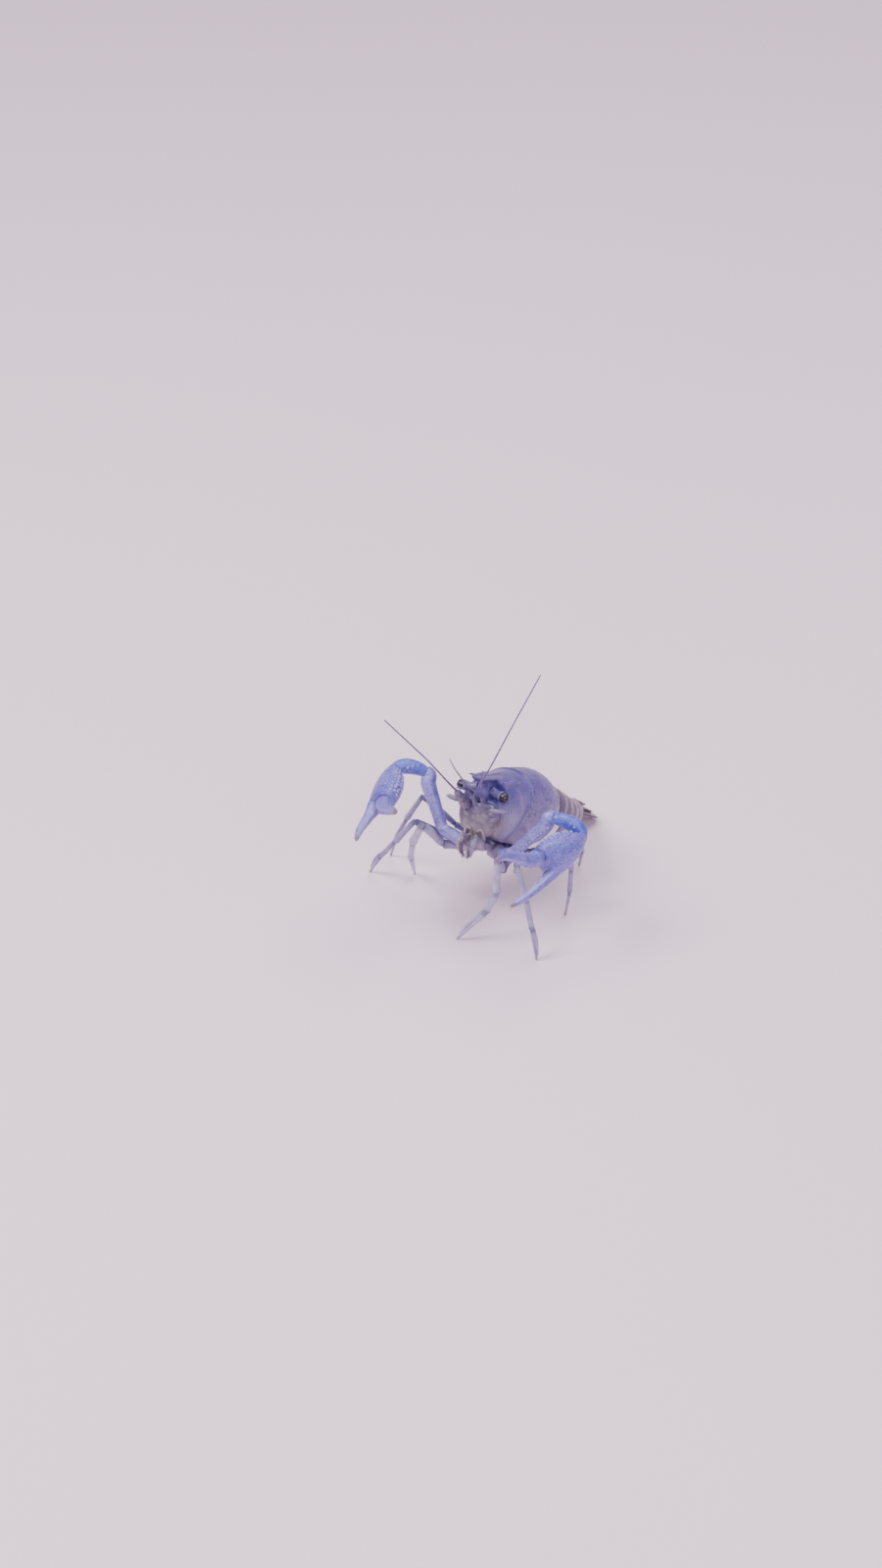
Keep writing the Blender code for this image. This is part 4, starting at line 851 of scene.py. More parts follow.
def makeFinger(name):
    clay = Clay()
    across, over = clawAxes(name)[2:]
    knots = fingerBow(name)
    stations = []
    for i in range(25):
        t = i / 24
        stations.append((onBow(knots, t)[0], fingerHalf(name, t), read(claws["finger"], t, 2)))
    stations[0] = (stations[0][0], 1.7, 2.0)
    clay.limb(stations, across, 44, 64, 2.3, (0.5, 0.35), lambda u, t: 1 + 0.02 * math.cos(6 * t))
    draw = random.Random(seeds["finger"])
    for i in range(tubercles["fingerTeeth"]):
        t = 0.24 + 0.052 * i
        place, heading = onBow(knots, t)
        inner = (heading * across.dot(heading) - across).normalized()
        size = (0.62 if i in tubercles["fingerFangs"] else 0.4) * (1 - 0.025 * i) * draw.uniform(0.85, 1.1)
        clay.bump(place + inner * (fingerHalf(name, t) - 0.1), inner, size, size * 1.2, "tooth", 10)
    for t, turn, size in tubercles["finger"]:
        place, heading = onBow(knots, t)
        outer = ((across - heading * across.dot(heading)).normalized() + over * turn).normalized()
        clay.bump(place + outer * (fingerHalf(name, t) - 0.05), outer, size, size * 1.3, "dome", 10,
                  heading * 0.4)
    tip = claws["movingTip"][name]
    base = knots[0]
    whole = (tip - base).length

    def paint(p, normal):
        run = (p - base).length / whole
        warm = 0.75 * ease(run, 0.86, 0.98)
        edge = ease(-normal.dot(across), 0.2, 0.9)
        dark = (0.35 * bell(run, 0.07) + 0.15 * ease(normal.dot(over), 0.6, 1.0)
                + 0.2 * ease(noise.noise(p * 0.4), 0.0, 0.4))
        return (0.05 + 0.30 * edge) * (1 - warm), dark, warm
    makePiece(name + "Finger", clay, clawCoat, ["claw_{}_finger".format(name)], paint,
              claws["fingerVoxel"])


def hipPoints(index, hand):  # inside the chest, at its cut, and the way square to that cut; 0 is the claw
    name = "left" if hand > 0 else "right"
    if index == 0:
        a, hip, after = claws["along"], claws["hip"], claws["elbow"][name]
    else:
        a, hip, after = legs["hips"][index - 1], legs["hip"], Vector(legs["paths"][name][index - 1][0][0])
    inner, root = (onSide((a, b, c), hand) for b, c in hip)
    return inner, root, bendPlane(inner, root, after)


def wristBow(name):  # the curve through the wrist, and its upper side
    first, last = wristCut(name, "wrist"), wristCut(name, "palm")
    begin = claws["armEnd"][name] + first * gap / 2
    end = claws["wristEnd"][name] - last * gap / 2
    pull = (end - begin).length * claws["bow"]
    knots = (begin, begin + first * pull, end - last * pull, end)
    return knots, first.cross(last).normalized() * -hands[name]


def makeArm(name, hand):
    clay = Clay()
    root, cut = hipPoints(0, hand)[1:]
    elbow, end = claws["elbow"][name], claws["armEnd"][name]
    way = (end - elbow).normalized()
    last = wristCut(name, "wrist")
    first = (elbow - root).normalized()
    clay.limb([(root + cut * gap / 2, 1.9, 1.8), (root + cut * 1.4, 2.0, 1.9),
               (root.lerp(elbow, 0.5), 2.0, 1.85), (elbow - first * 1.2, 2.05, 1.85),
               (elbow + first * 0.4, 1.9, 1.75)], forward, 36, 30)
    clay.limb([(elbow - way * 0.9, 1.6, 1.45), (elbow + way * 0.9, 1.85, 1.65),
               (elbow.lerp(end, 0.3), 1.9, 1.7), (elbow.lerp(end, 0.55), 2.1, 1.88),
               (elbow.lerp(end, 0.8), 2.38, 2.15), (end - last * 1.5, 2.28, 2.1),
               (end - last * gap / 2, 1.75, 1.75)], forward, 40, 60, 2.4, (0.5, 0.3))

    def paint(p, normal):
        t = (p - elbow).dot(way) / (end - elbow).length
        front = ease(normal.dot(forward), 0.0, 0.9)
        dark = 0.4 * bell(t + 0.01, 0.03) + 0.2 * ease(-normal.dot(forward), 0.2, 0.9)
        dark += 0.25 * ease(noise.noise(p * 0.3), 0.0, 0.4)
        return 0.20 * front + 0.15 * bell(t - 0.05, 0.04), dark, 0.0
    makePiece(name + "Arm", clay, clawCoat, ["claw_{}_arm".format(name)], paint)


def makeWrist(name):
    clay = Clay()
    knots, upper = wristBow(name)
    stations = []
    for i in range(21):
        t = i / 20
        stations.append((onBow(knots, t)[0], read(claws["wrist"], t, 1), read(claws["wrist"], t, 2)))

    def shape(u, t):  # a shallow groove along the upper side
        return 1 - 0.07 * bell((t + math.pi) % (2 * math.pi) - math.pi, 0.25) * math.sin(math.pi * u)
    clay.limb(stations, upper, 44, 48, 2.1, (0.5, 0.5), shape)

    def paint(p, normal):
        near = min((p - knots[0]).length, (p - knots[3]).length)
        dark = 0.3 * bell(near, 1.2) + 0.25 * ease(noise.noise(p * 0.35), 0.0, 0.4)
        return 0.2 * bell(near - 0.9, 0.7), dark, 0.0
    makePiece(name + "Wrist", clay, wristCoat, ["claw_{}_wrist".format(name)], paint)


for name, hand in hands.items():
    makeArm(name, hand)
    makeWrist(name)
    makePalm(name)
    makeFinger(name)
    makeTubercles(name)
print("claws made")


# walking legs

legs = dict(
    hips=(24.0, 19.5, 15.0, 10.5), hip=((2.6, -12.8), (5.6, -13.8)), thick=(1.25, 1.0, 0.9, 0.9),
    paths={
        "left": (
            (((7.4, 6.7, 21.2), (8.5, 0.7, 22.3), (9.3, -3.4, 28.0)),
             ((10.1, -5.1, 17.9), (7.1, -6.1, 10.8), (-1.0, -9.0, 0.3))),
            (((8.6, 10.4, 19.5), (12.5, 2.7, 21.8), (15.7, -3.1, 28.5)),
             ((20.0, -5.1, 19.0), (22.5, -5.9, 9.9), (24.5, -6.4, 0.3))),
            (((8.6, 19.4, 17.2), (14.1, 19.2, 19.5), (21.1, 17.9, 27.0)),
             ((22.1, 18.0, 17.0), (21.6, 18.3, 8.7), (20.2, 18.3, 0.3))),
            (((7.6, 25.8, 15.2), (10.9, 27.8, 18.4), (15.0, 30.0, 26.5)),
             ((15.8, 34.9, 16.8), (13.9, 39.8, 8.5), (10.7, 44.0, 0.3)))),
        "right": (
            (((-8.9, 8.1, 20.2), (-13.5, 4.1, 22.1), (-18.5, 0.7, 28.8)),
             ((-23.7, 3.6, 19.5), (-27.3, 8.4, 10.3), (-29.5, 14.5, 0.3))),
            (((-9.4, 12.5, 19.1), (-14.6, 8.9, 21.4), (-22.6, 3.1, 27.5)),
             ((-29.7, 3.5, 17.9), (-36.2, 5.8, 9.2), (-41.6, 8.7, 0.3))),
            (((-9.9, 17.5, 17.7), (-15.7, 14.9, 22.3), (-25.1, 12.0, 30.5)),
             ((-31.3, 12.9, 20.2), (-36.9, 16.1, 10.1), (-40.9, 19.5, 0.3))),
            (((-9.2, 26.0, 15.2), (-12.1, 29.3, 17.7), (-16.0, 33.3, 24.0)),
             ((-21.0, 38.9, 15.4), (-25.1, 44.9, 7.8), (-27.9, 50.0, 0.3))))},
    articles=(  # radius of each length where it begins, in its middle and where it ends, over thick
        (0.98, 1.02, 0.98), (0.95, 1.06, 0.9), (0.84, 0.92, 0.92), (0.82, 0.88, 0.78)),
    foot=((0.08, 0.68, 0.58), (0.4, 0.54, 0.48), (0.75, 0.42, 0.36)),     # share, half width, half thickness
    knee=(0.8, 0.8, 0.76), flat=0.85, bow=0.3,
    bristles=70, pincers=2,                  # pincers: how many pairs end in one
    pale={"left": (0.45, 0.22, 0.2, 0.15), "right": (0.6, 0.1, 0.06, 0.06)},   # how bleached each leg is
)


def article(clay, start, end, which, scale, side, sides=22, flat=1.0, bow=0.0):
    # one length of a leg: narrow where it enters the one before, swollen at its far end, with a rim
    first, middle, last = (share * scale for share in legs["articles"][which])
    rows = ((-0.02, 0.66 * first), (0.03, 0.82 * first), (0.09, first), (0.42, middle * 0.94),
            (0.72, (middle + last) / 2), (0.88, last * 1.12), (0.94, last * 1.16), (0.97, last * 1.02),
            (1.0, last * 0.8))
    stations = []
    for t, r in rows:
        rise = Vector((0, 0, bow)) * math.sin(math.pi * min(max(t, 0), 1))
        stations.append((start.lerp(end, t) + rise, r, r * flat))
    clay.limb(stations, side, sides, 30, 2.2, (0.3, 0.3 * last))


def makeLeg(name, hand, index):
    thick = legs["thick"][index]
    root, cut = hipPoints(index + 1, hand)[1:]
    upper, lower = legs["paths"][name][index]
    first, second, knee = (Vector(p) for p in upper)
    shin, ankle, foot = (Vector(p) for p in lower)
    turn = bendPlane(second, knee, shin)
    side = (knee - second).cross(down).normalized()
    label = "leg_{}_{}_".format(index + 1, name)
    clay = Clay()
    clay.limb([(root + cut * gap / 2, thick * 1.1, thick * 1.1),
               (root + cut, thick * 1.2, thick * 1.12), (first, thick * 1.05, thick)], side, 24, 14)
    article(clay, root.lerp(first, 0.75), second, 0, thick, side, 24)
    article(clay, second, knee - turn * 0.1, 1, thick, side, bow=legs["bow"])
    draw = random.Random(seeds["leg"] + index + 10 * hand)
    bare = legs["pale"][name][index]
    cuts = (first, second, knee)

    def upperPaint(p, normal):
        near = min((p - q).length for q in cuts)
        dark = 0.6 * ease(-near, -thick - 0.5, -thick - 0.05) + 0.22 * ease(noise.noise(p * 0.4), -0.1, 0.4)
        under = 0.12 * ease(-normal.z, 0.2, 0.9)
        return bare * 0.6 + under, min(dark, 0.75), under
    title = "leg{}{}".format(index + 1, name.title())
    makePiece(title + "Upper", clay, legCoat, [label + "upper"], upperPaint)

    clay = Clay()
    radii = [share * thick for share in legs["knee"]]
    clay.ball(knee + turn * 0.25, radii, (side, turn.cross(side), turn), 18, 9)
    article(clay, knee + turn * 0.3, shin, 2, thick, side)
    article(clay, shin, ankle, 3, thick, side, flat=legs["flat"])
    way = (foot - ankle).normalized()
    clay.limb([(ankle - way * 0.3, thick * 0.6, thick * 0.5), *between(ankle, foot, legs["foot"], thick),
               (foot, 0.36, 0.32)], side, 18, 30, 2.0, (0.3, 0.25))
    if index < legs["pincers"]:
        over = way.cross(Vector((0, 0, 1))).cross(way).normalized()
        clay.limb([(shin.lerp(ankle, 0.88), 0.5, 0.45), (ankle + over * 0.55, 0.62, 0.52),
                   (ankle.lerp(foot, 0.4) + over * 1.15, 0.5, 0.42),
                   (ankle.lerp(foot, 0.86) + over * 0.75, 0.2, 0.18)],
                  side, 16, 30, 2.0, (0.3, 0.15))
    for _ in range(legs["bristles"]):                         # short bristles on the last lengths
        t = draw.random() ** 0.7
        place = (shin.lerp(ankle, t * 2) if t < 0.5 else ankle.lerp(foot, (t - 0.5) * 1.7))
        spin = draw.uniform(0, 2 * math.pi)
        out = side * math.cos(spin) + way.cross(side).normalized() * math.sin(spin)
        radius = thick * (0.84 if t < 0.5 else 0.56 - 0.2 * (t - 0.5))
        clay.hair(place + out * radius * 0.9, (out + way * 0.9).normalized(), draw.uniform(0.45, 0.9))
    clay.ground()
    lowerCuts = (knee, shin, ankle)

    def lowerPaint(p, normal):
        near = min((p - q).length for q in lowerCuts)
        run = (p - ankle).dot(way) / (foot - ankle).length
        dark = 0.6 * ease(-near, -thick - 0.5, -thick - 0.05) + 0.2 * ease(noise.noise(p * 0.45), -0.1, 0.4)
        return bare + 0.1 * ease(run, 0.0, 0.6), min(dark, 0.8) * (1 - 0.3 * bare), 0.5 * ease(run, 0.78, 1.0)
    makePiece(title + "Lower", clay, legCoat, [label + "lower"], lowerPaint)


for name, hand in hands.items():
    for index in range(4):
        makeLeg(name, hand, index)
print("legs made")


# chest, with the roots of the claws, legs and mouth legs

chest = dict(
    rows=((6.5, 3.0), (10.0, 3.8), (16.0, 4.3), (22.0, 4.5), (27.0, 4.5), (30.4, 3.6)),    # a, half width
    under=((24.0, -13.6), (30.4, -13.0)), notch=0.35, hips=(2.5, 1.8, 1.8, 1.8, 1.8),
    steps=40, sides=44, length=23.9,
)
mouth = dict(
    leg=((35.6, 2.4, -12.1), (39.3, 2.4, -10.0), (40.4, 2.1, -11.8), (39.8, 1.8, -13.9), (38.2, 1.3, -15.5)),
    limbs=(  # along, across, up, radius of each knot: the second mouth limb and a smaller one
        ((34.8, 2.6, -11.0, 0.65), (35.9, 2.9, -9.6, 0.72), (36.6, 2.8, -8.2, 0.6), (37.0, 2.2, -7.4, 0.52),
         (37.3, 1.4, -7.7, 0.42), (37.3, 0.8, -8.4, 0.22)),
        ((35.2, 1.8, -10.6, 0.55), (36.7, 1.6, -9.8, 0.52), (37.3, 1.0, -9.3, 0.38), (37.4, 0.6, -9.5, 0.2))),
    root=((29.4, 1.9, -11.9), (31.4, 2.4, -12.2)),             # of a mouth leg: inside the chest, at its cut
    lip=((36.1, 0, -6.3), (1.5, 0.8, 0.75)), jaw=((35.4, 1.2, -8.2), (1.3, 1.8, 1.1)),     # place, size
    lengths=(  # of a mouth leg: share, half width, half thickness
        ((-0.05, 1.3, 1.05), (0.3, 1.6, 1.25), (0.8, 1.5, 1.2), (1.0, 1.15, 1.0)),
        ((-0.1, 0.85, 0.8), (0.5, 1.2, 1.0), (1.0, 1.1, 0.95)),
        ((0.0, 0.8, 0.7), (0.5, 1.0, 0.85), (1.0, 0.8, 0.7)),
        ((0.0, 0.65, 0.6), (0.5, 0.6, 0.5), (1.0, 0.25, 0.25))),
    halves=(1.4, 1.5, 1.15, 0.95, 0.6),                        # half width of each length, for its bristles
    bristles=800, jawHairs=300,
)


def mouthLegPoints(hand):
    inner, root = (onSide(place, hand) for place in mouth["root"])
    return inner, root, bendPlane(inner, root, onSide(mouth["leg"][0], hand))


def makeChest():
    clay = Clay()
    rings = []
    for r in range(chest["steps"]):
        a = chest["rows"][0][0] + chest["length"] * r / (chest["steps"] - 1)
        top, low = read(shell["rows"], a, 3) - gap, read(chest["under"], a)
        notch = chest["notch"] * bell((a - 8.2) % 4.5 - 2.25, 0.5)     # between each two pairs of legs
        rings.append([onShell(a, (read(chest["rows"], a) - notch) * swell(math.cos(t), 3.4),
                              (top + low) / 2 + (top - low) / 2 * swell(math.sin(t), 3.4))
                      for t in circle(chest["sides"])])
    clay.rings(rings)
    for hand in hands.values():
        for index, wide in enumerate(chest["hips"]):
            inner, root, cut = hipPoints(index, hand)
            clay.limb([(inner, wide * 0.9, wide * 0.9), (root - cut * 1.6, wide, wide * 0.95),
                       (root - cut * 0.7, wide * 1.03, wide), (root - cut * 0.1, wide * 0.85, wide * 0.85)],
                      forward, 26, 24)
        inner, root, cut = mouthLegPoints(hand)
        clay.limb([(inner, 1.2, 1.2), (root - cut * 0.8, 1.35, 1.3), (root - cut * 0.1, 1.1, 1.1)],
                  forward, 22, 16)

    def paint(p, normal):
        return 0.18 + 0.15 * noise.noise(p * 0.6), 0.3 * ease(normal.z, 0.0, 0.8), 0.3
    makePiece("chestPlates", clay, legCoat, ["chest"], paint)


def makeMouthLeg(name, hand):
    clay = Clay()
    root, cut = mouthLegPoints(hand)[1:]
    p0, p1, p2, p3, p4 = (onSide(place, hand) for place in mouth["leg"])
    across = sideways * hand
    clay.limb([(root + cut * gap / 2, 1.1, 1.1), (root + cut * 1.2, 1.4, 1.3),
               (root.lerp(p0, 0.6), 1.7, 1.35), (p0, 1.65, 1.35), (p0.lerp(p1, 0.2), 1.4, 1.15)],
              across, 30, 34, 2.6)
    first, second, third, fourth = mouth["lengths"]
    clay.limb(between(p0, p1, first), across, 30, 24, 2.6)
    clay.limb(between(p1, p2, second) + [(p2.lerp(p3, 0.1), 0.9, 0.8)], across, 24, 20, 2.6)
    clay.limb(between(p2, p3, third), across, 24, 18, 2.4)
    clay.limb(between(p3, p4, fourth), across, 20, 16)
    draw = random.Random(seeds["mouthLeg"])
    path = [root, p0, p1, p2, p3, p4]
    for _ in range(mouth["bristles"]):                        # a fringe of stiff hairs on the inner edges
        x = draw.random() * (len(path) - 1)
        i = min(int(x), len(path) - 2)
        place = path[i].lerp(path[i + 1], x - i)
        wide = mouth["halves"][i]
        way = (path[i + 1] - path[i]).normalized()
        out = (across * draw.uniform(-1.0, -0.1) + forward * draw.uniform(0.2, 1.0)
               + upward * draw.uniform(-0.8, 0.3)).normalized()
        clay.hair(place + out * wide * 0.75, (out + way * 0.5).normalized(), draw.uniform(0.6, 1.7))

    def paint(p, normal):
        joint = min((p - q).length for q in (p0, p1, p2, p3))
        dark = 0.2 * ease(noise.noise(p * 0.5), -0.1, 0.3) + 0.3 * bell(joint - 1.0, 0.4)
        return 0.25 + 0.14 * noise.noise(p * 0.7), min(dark, 0.7), 0.4
    makePiece("mouthLeg" + name.title(), clay, legCoat, ["mouth_leg_" + name], paint)


def makeJaws():
    clay = Clay()
    draw = random.Random(seeds["jaws"])
    place, size = mouth["lip"]
    clay.ball(onShell(*place), size, shellAxes, 24, 12)
    for hand in hands.values():
        place, size = mouth["jaw"]
        clay.ball(onSide(place, hand), size, shellAxes, 24, 14)
        for limb in mouth["limbs"]:
            knots = [(i, *onSide(place, hand), r) for i, (*place, r) in enumerate(limb)]
            stations = []
            for step in range(25):
                x = (len(knots) - 1) * step / 24
                radius = read(knots, x, 4) * (1 + 0.06 * math.cos(2 * math.pi * x))
                stations.append((readSpot(knots, x), radius, radius * 0.8))
            clay.limb(stations, sideways, 16, 48, 2.0, (0.2, 0.2))
        for _ in range(mouth["jawHairs"]):
            limb = draw.choice(mouth["limbs"])
            x = draw.uniform(0.6, len(limb) - 1.001)
            one, two = limb[int(x)], limb[int(x) + 1]
            *place, r = (one[k] + (two[k] - one[k]) * (x % 1) for k in range(4))
            out = (sideways * hand * draw.uniform(-1.0, 0.15) + forward * draw.uniform(0.3, 1.0)
                   - upward * draw.uniform(0.0, 0.9)).normalized()
            clay.hair(onSide(place, hand) + out * r * 0.8, out, draw.uniform(0.4, 1.0), 0.025)

    def paint(p, normal):
        return 0.30 + 0.12 * noise.noise(p * 0.9), 0.12 * ease(noise.noise(p * 0.6), 0.0, 0.3), 0.5
    makePiece("jaws", clay, legCoat, [], paint)


makeChest()
for name, hand in hands.items():
    makeMouthLeg(name, hand)
makeJaws()
print("chest and mouth made")


# tail

tail = dict(
    lengths=(3.3, 5.1, 5.1, 5.1, 5.1, 5.8), slopes=(36.0, 43.0, 45.0, 44.0, 40.0, 35.0),
    turns=(0.0, 2.0, 4.0, 7.0, 10.0, 13.0), halves=(7.1, 8.2, 8.1, 7.8, 7.2, 6.3),
    heights=(5.9, 6.7, 6.5, 6.1, 5.5, 4.7), lobes=(1.2, 3.6, 3.3, 3.0, 2.6, 1.5),
    swell=(  # share of a ring's length, swell of its section, how far its side lobes hang
        (0.0, 0.90, 0.25), (0.12, 0.95, 0.5), (0.4, 1.0, 1.0), (0.7, 1.01, 0.95), (0.9, 1.01, 0.6),
        (1.0, 0.99, 0.35)),
    tapers=(0.94, 0.94, 0.94, 0.94, 0.94, 0.82), belly=0.8, steps=30, overlap=0.55,
    fanSlope=38.0, fanTurn=15.0, fanSteps=56, fanSides=24, fringe=150, telsonUnder=0.75, lobeBack=0.35,
    keels={"telson": 0.35, "inner": 0.3, "outer": 0.3},
    telson=((gap, 3.7, 1.2), (1.0, 4.1, 1.2), (3.5, 4.2, 1.1), (6.2, 3.9, 1.0), (6.9, 3.6, 1.0),
            (8.4, 3.4, 0.9), (9.8, 2.7, 0.8), (10.7, 1.5, 0.7)),
    lobe=((0.0, 1.3, 1.1), (1.2, 1.9, 1.0), (3.4, 2.7, 0.9), (6.0, 3.0, 0.85), (8.2, 2.8, 0.8),
          (9.6, 2.1, 0.75), (10.4, 1.0, 0.7)),
    fanLobes=(  # root out, turn outward, root under, how much flatter than the telson
        ("inner", 2.6, 7.0, 2.45, 1.5), ("outer", 3.9, 14.0, 3.95, 2.5)),
)


def tailAxes(slope, turn):  # the ways back, across and up
    s, t = math.radians(slope), math.radians(turn)
    back = Vector((-math.sin(t) * math.cos(s), math.cos(t) * math.cos(s), -math.sin(s)))
    across = Vector((math.cos(t), math.sin(t), 0.0))
    return back, across, across.cross(back)


def tailFrames():  # place, slope and turn of each cut between two rings
    place = onShell(-gap, 0, 6.0)
    pairs = list(zip(tail["slopes"], tail["slopes"][1:]))
    slopes = [pose["noseUp"]] + [(a + b) / 2 for a, b in pairs] + [tail["slopes"][-1] - 6]
    turns = [0.0] + [(a + b) / 2 for a, b in zip(tail["turns"], tail["turns"][1:])] + [tail["fanTurn"] - 1]
    frames = []
    for i, (slope, turn) in enumerate(zip(slopes, turns)):
        frames.append((place, slope, turn))
        if i < len(tail["lengths"]):
            place = place + tailAxes(tail["slopes"][i], tail["turns"][i])[0] * tail["lengths"][i]
    return frames


def tailSection(place, across, up, half, height, lobe):  # one outline, from the back's middle round
    belly = -height * tail["belly"]
    right = []
    for i in range(25):
        t = math.radians(90.0 * i / 24)
        right.append((half * swell(math.sin(t), 2.2), -height * (1 - swell(math.cos(t), 2.2))))
    for k in range(1, 13):                                     # the side lobe, out, down and back under
        u = math.pi * k / 12
        low = -height - lobe * math.sin(u) ** 0.8 + 0.2 * lobe * (1 - math.cos(u)) / 2
        right.append((half * (0.92 + 0.08 * math.cos(u)), low))
    right += [(half * x, belly - y) for x, y in ((0.80, 0.4), (0.62, 0.75), (0.35, 0.95))]
    left = [(-x, y) for x, y in right[1:]]
    return [place + across * x + up * y for x, y in right + [(0.0, belly - 1.0)] + left[::-1]]


def makeTailRing(index):
    frames = tailFrames()
    one, two = frames[index], frames[index + 1]
    half, height, lobe = tail["halves"][index], tail["heights"][index], tail["lobes"][index]
    taper, steps = tail["tapers"][index], tail["steps"]
    rings = []
    for r in range(-1, steps + 2):
        t = r / steps
        held = min(max(t, 0.0), 1.0)
        wide, hang = read(tail["swell"], held, 1), read(tail["swell"], held, 2)
        place = one[0].lerp(two[0], held)
        slope, turn = one[1] + (two[1] - one[1]) * held, one[2] + (two[2] - one[2]) * held
        back, across, up = tailAxes(slope, turn)
        size = wide * (1 + (taper - 1) * held)
        if r == -1:
            place -= back * 0.1
            size *= 0.93
        if r == steps + 1:
            place += back * (tail["overlap"] * 0.85)
            size *= 0.955
        if r == steps:
            place += back * (tail["overlap"] * 0.6)
        size *= 1 - 0.022 * bell(held - 0.3, 0.035) - 0.012 * bell(held - 0.93, 0.03)
        place += up * (-(1.01 - wide) * height * 0.5)
        rings.append(tailSection(place, across, up, half * size, height * size, lobe * hang))
    clay = Clay()
    clay.rings(rings)
    if 1 <= index <= 4:                                       # a pair of swimmerets
        middle = one[0].lerp(two[0], 0.4)
        back, across, up = tailAxes(one[1], one[2])
        for hand in hands.values():
            top = middle + across * (hand * 3.4) - up * (height - 0.9)
            low = top - up * 1.5 + back * 1.1 - across * hand * 0.4
            clay.limb([(top, 0.7, 0.6), (top.lerp(low, 0.5), 0.75, 0.6), (low, 0.45, 0.4)], across, 14, 14)
            for sign in (-0.35, 0.35):
                far = low - up * 0.6 + back * 1.5 + across * sign
                clay.limb([(low, 0.4, 0.25), (low.lerp(far, 0.6), 0.5, 0.2), (far, 0.15, 0.1)],
                          across, 10, 12)
    clay.ground()
    back, across, up = tailAxes((one[1] + two[1]) / 2, (one[2] + two[2]) / 2)
    base, length = one[0], (two[0] - one[0]).length

    def paint(p, normal):
        q = p - base
        run, b, c = q.dot((two[0] - one[0]).normalized()) / length, q.dot(across), q.dot(up)
        side = ease(abs(b), half * 0.5, half * 0.9)
        band = 0.9 * bell(run - 0.92, 0.12) + 0.45 * bell(run - 0.3, 0.05)
        cloud = 0.5 + 0.9 * noise.noise(p * 0.45)
        pale = 0.30 * bell(abs(b) - half * 0.5, half * 0.25) * cloud * bell(run - 0.6, 0.3)
        pale += 0.55 * ease(-c - height, 0.2, lobe + 0.2) * side
        dark = (band * (0.9 - 0.5 * side)
                + 0.3 * ease(noise.noise(p * 0.5 + Vector((3, 1, 7))), 0.05, 0.35) * (1 - side))
        warm = 0.25 * bell(abs(b) - half * 0.5, 0.9) * bell(run - 0.55, 0.2) if index == 5 else 0.0
        if normal.dot(up) < -0.3 and abs(b) < half * 0.8:
            pale, dark, warm = 0.35, 0.0, 0.15
        return max(pale, 0.0), min(max(dark, 0.0), 0.85), warm
    number = str(index + 1)
    makePiece("abdomen" + number, clay, tailCoat, ["abdomen_" + number], paint)


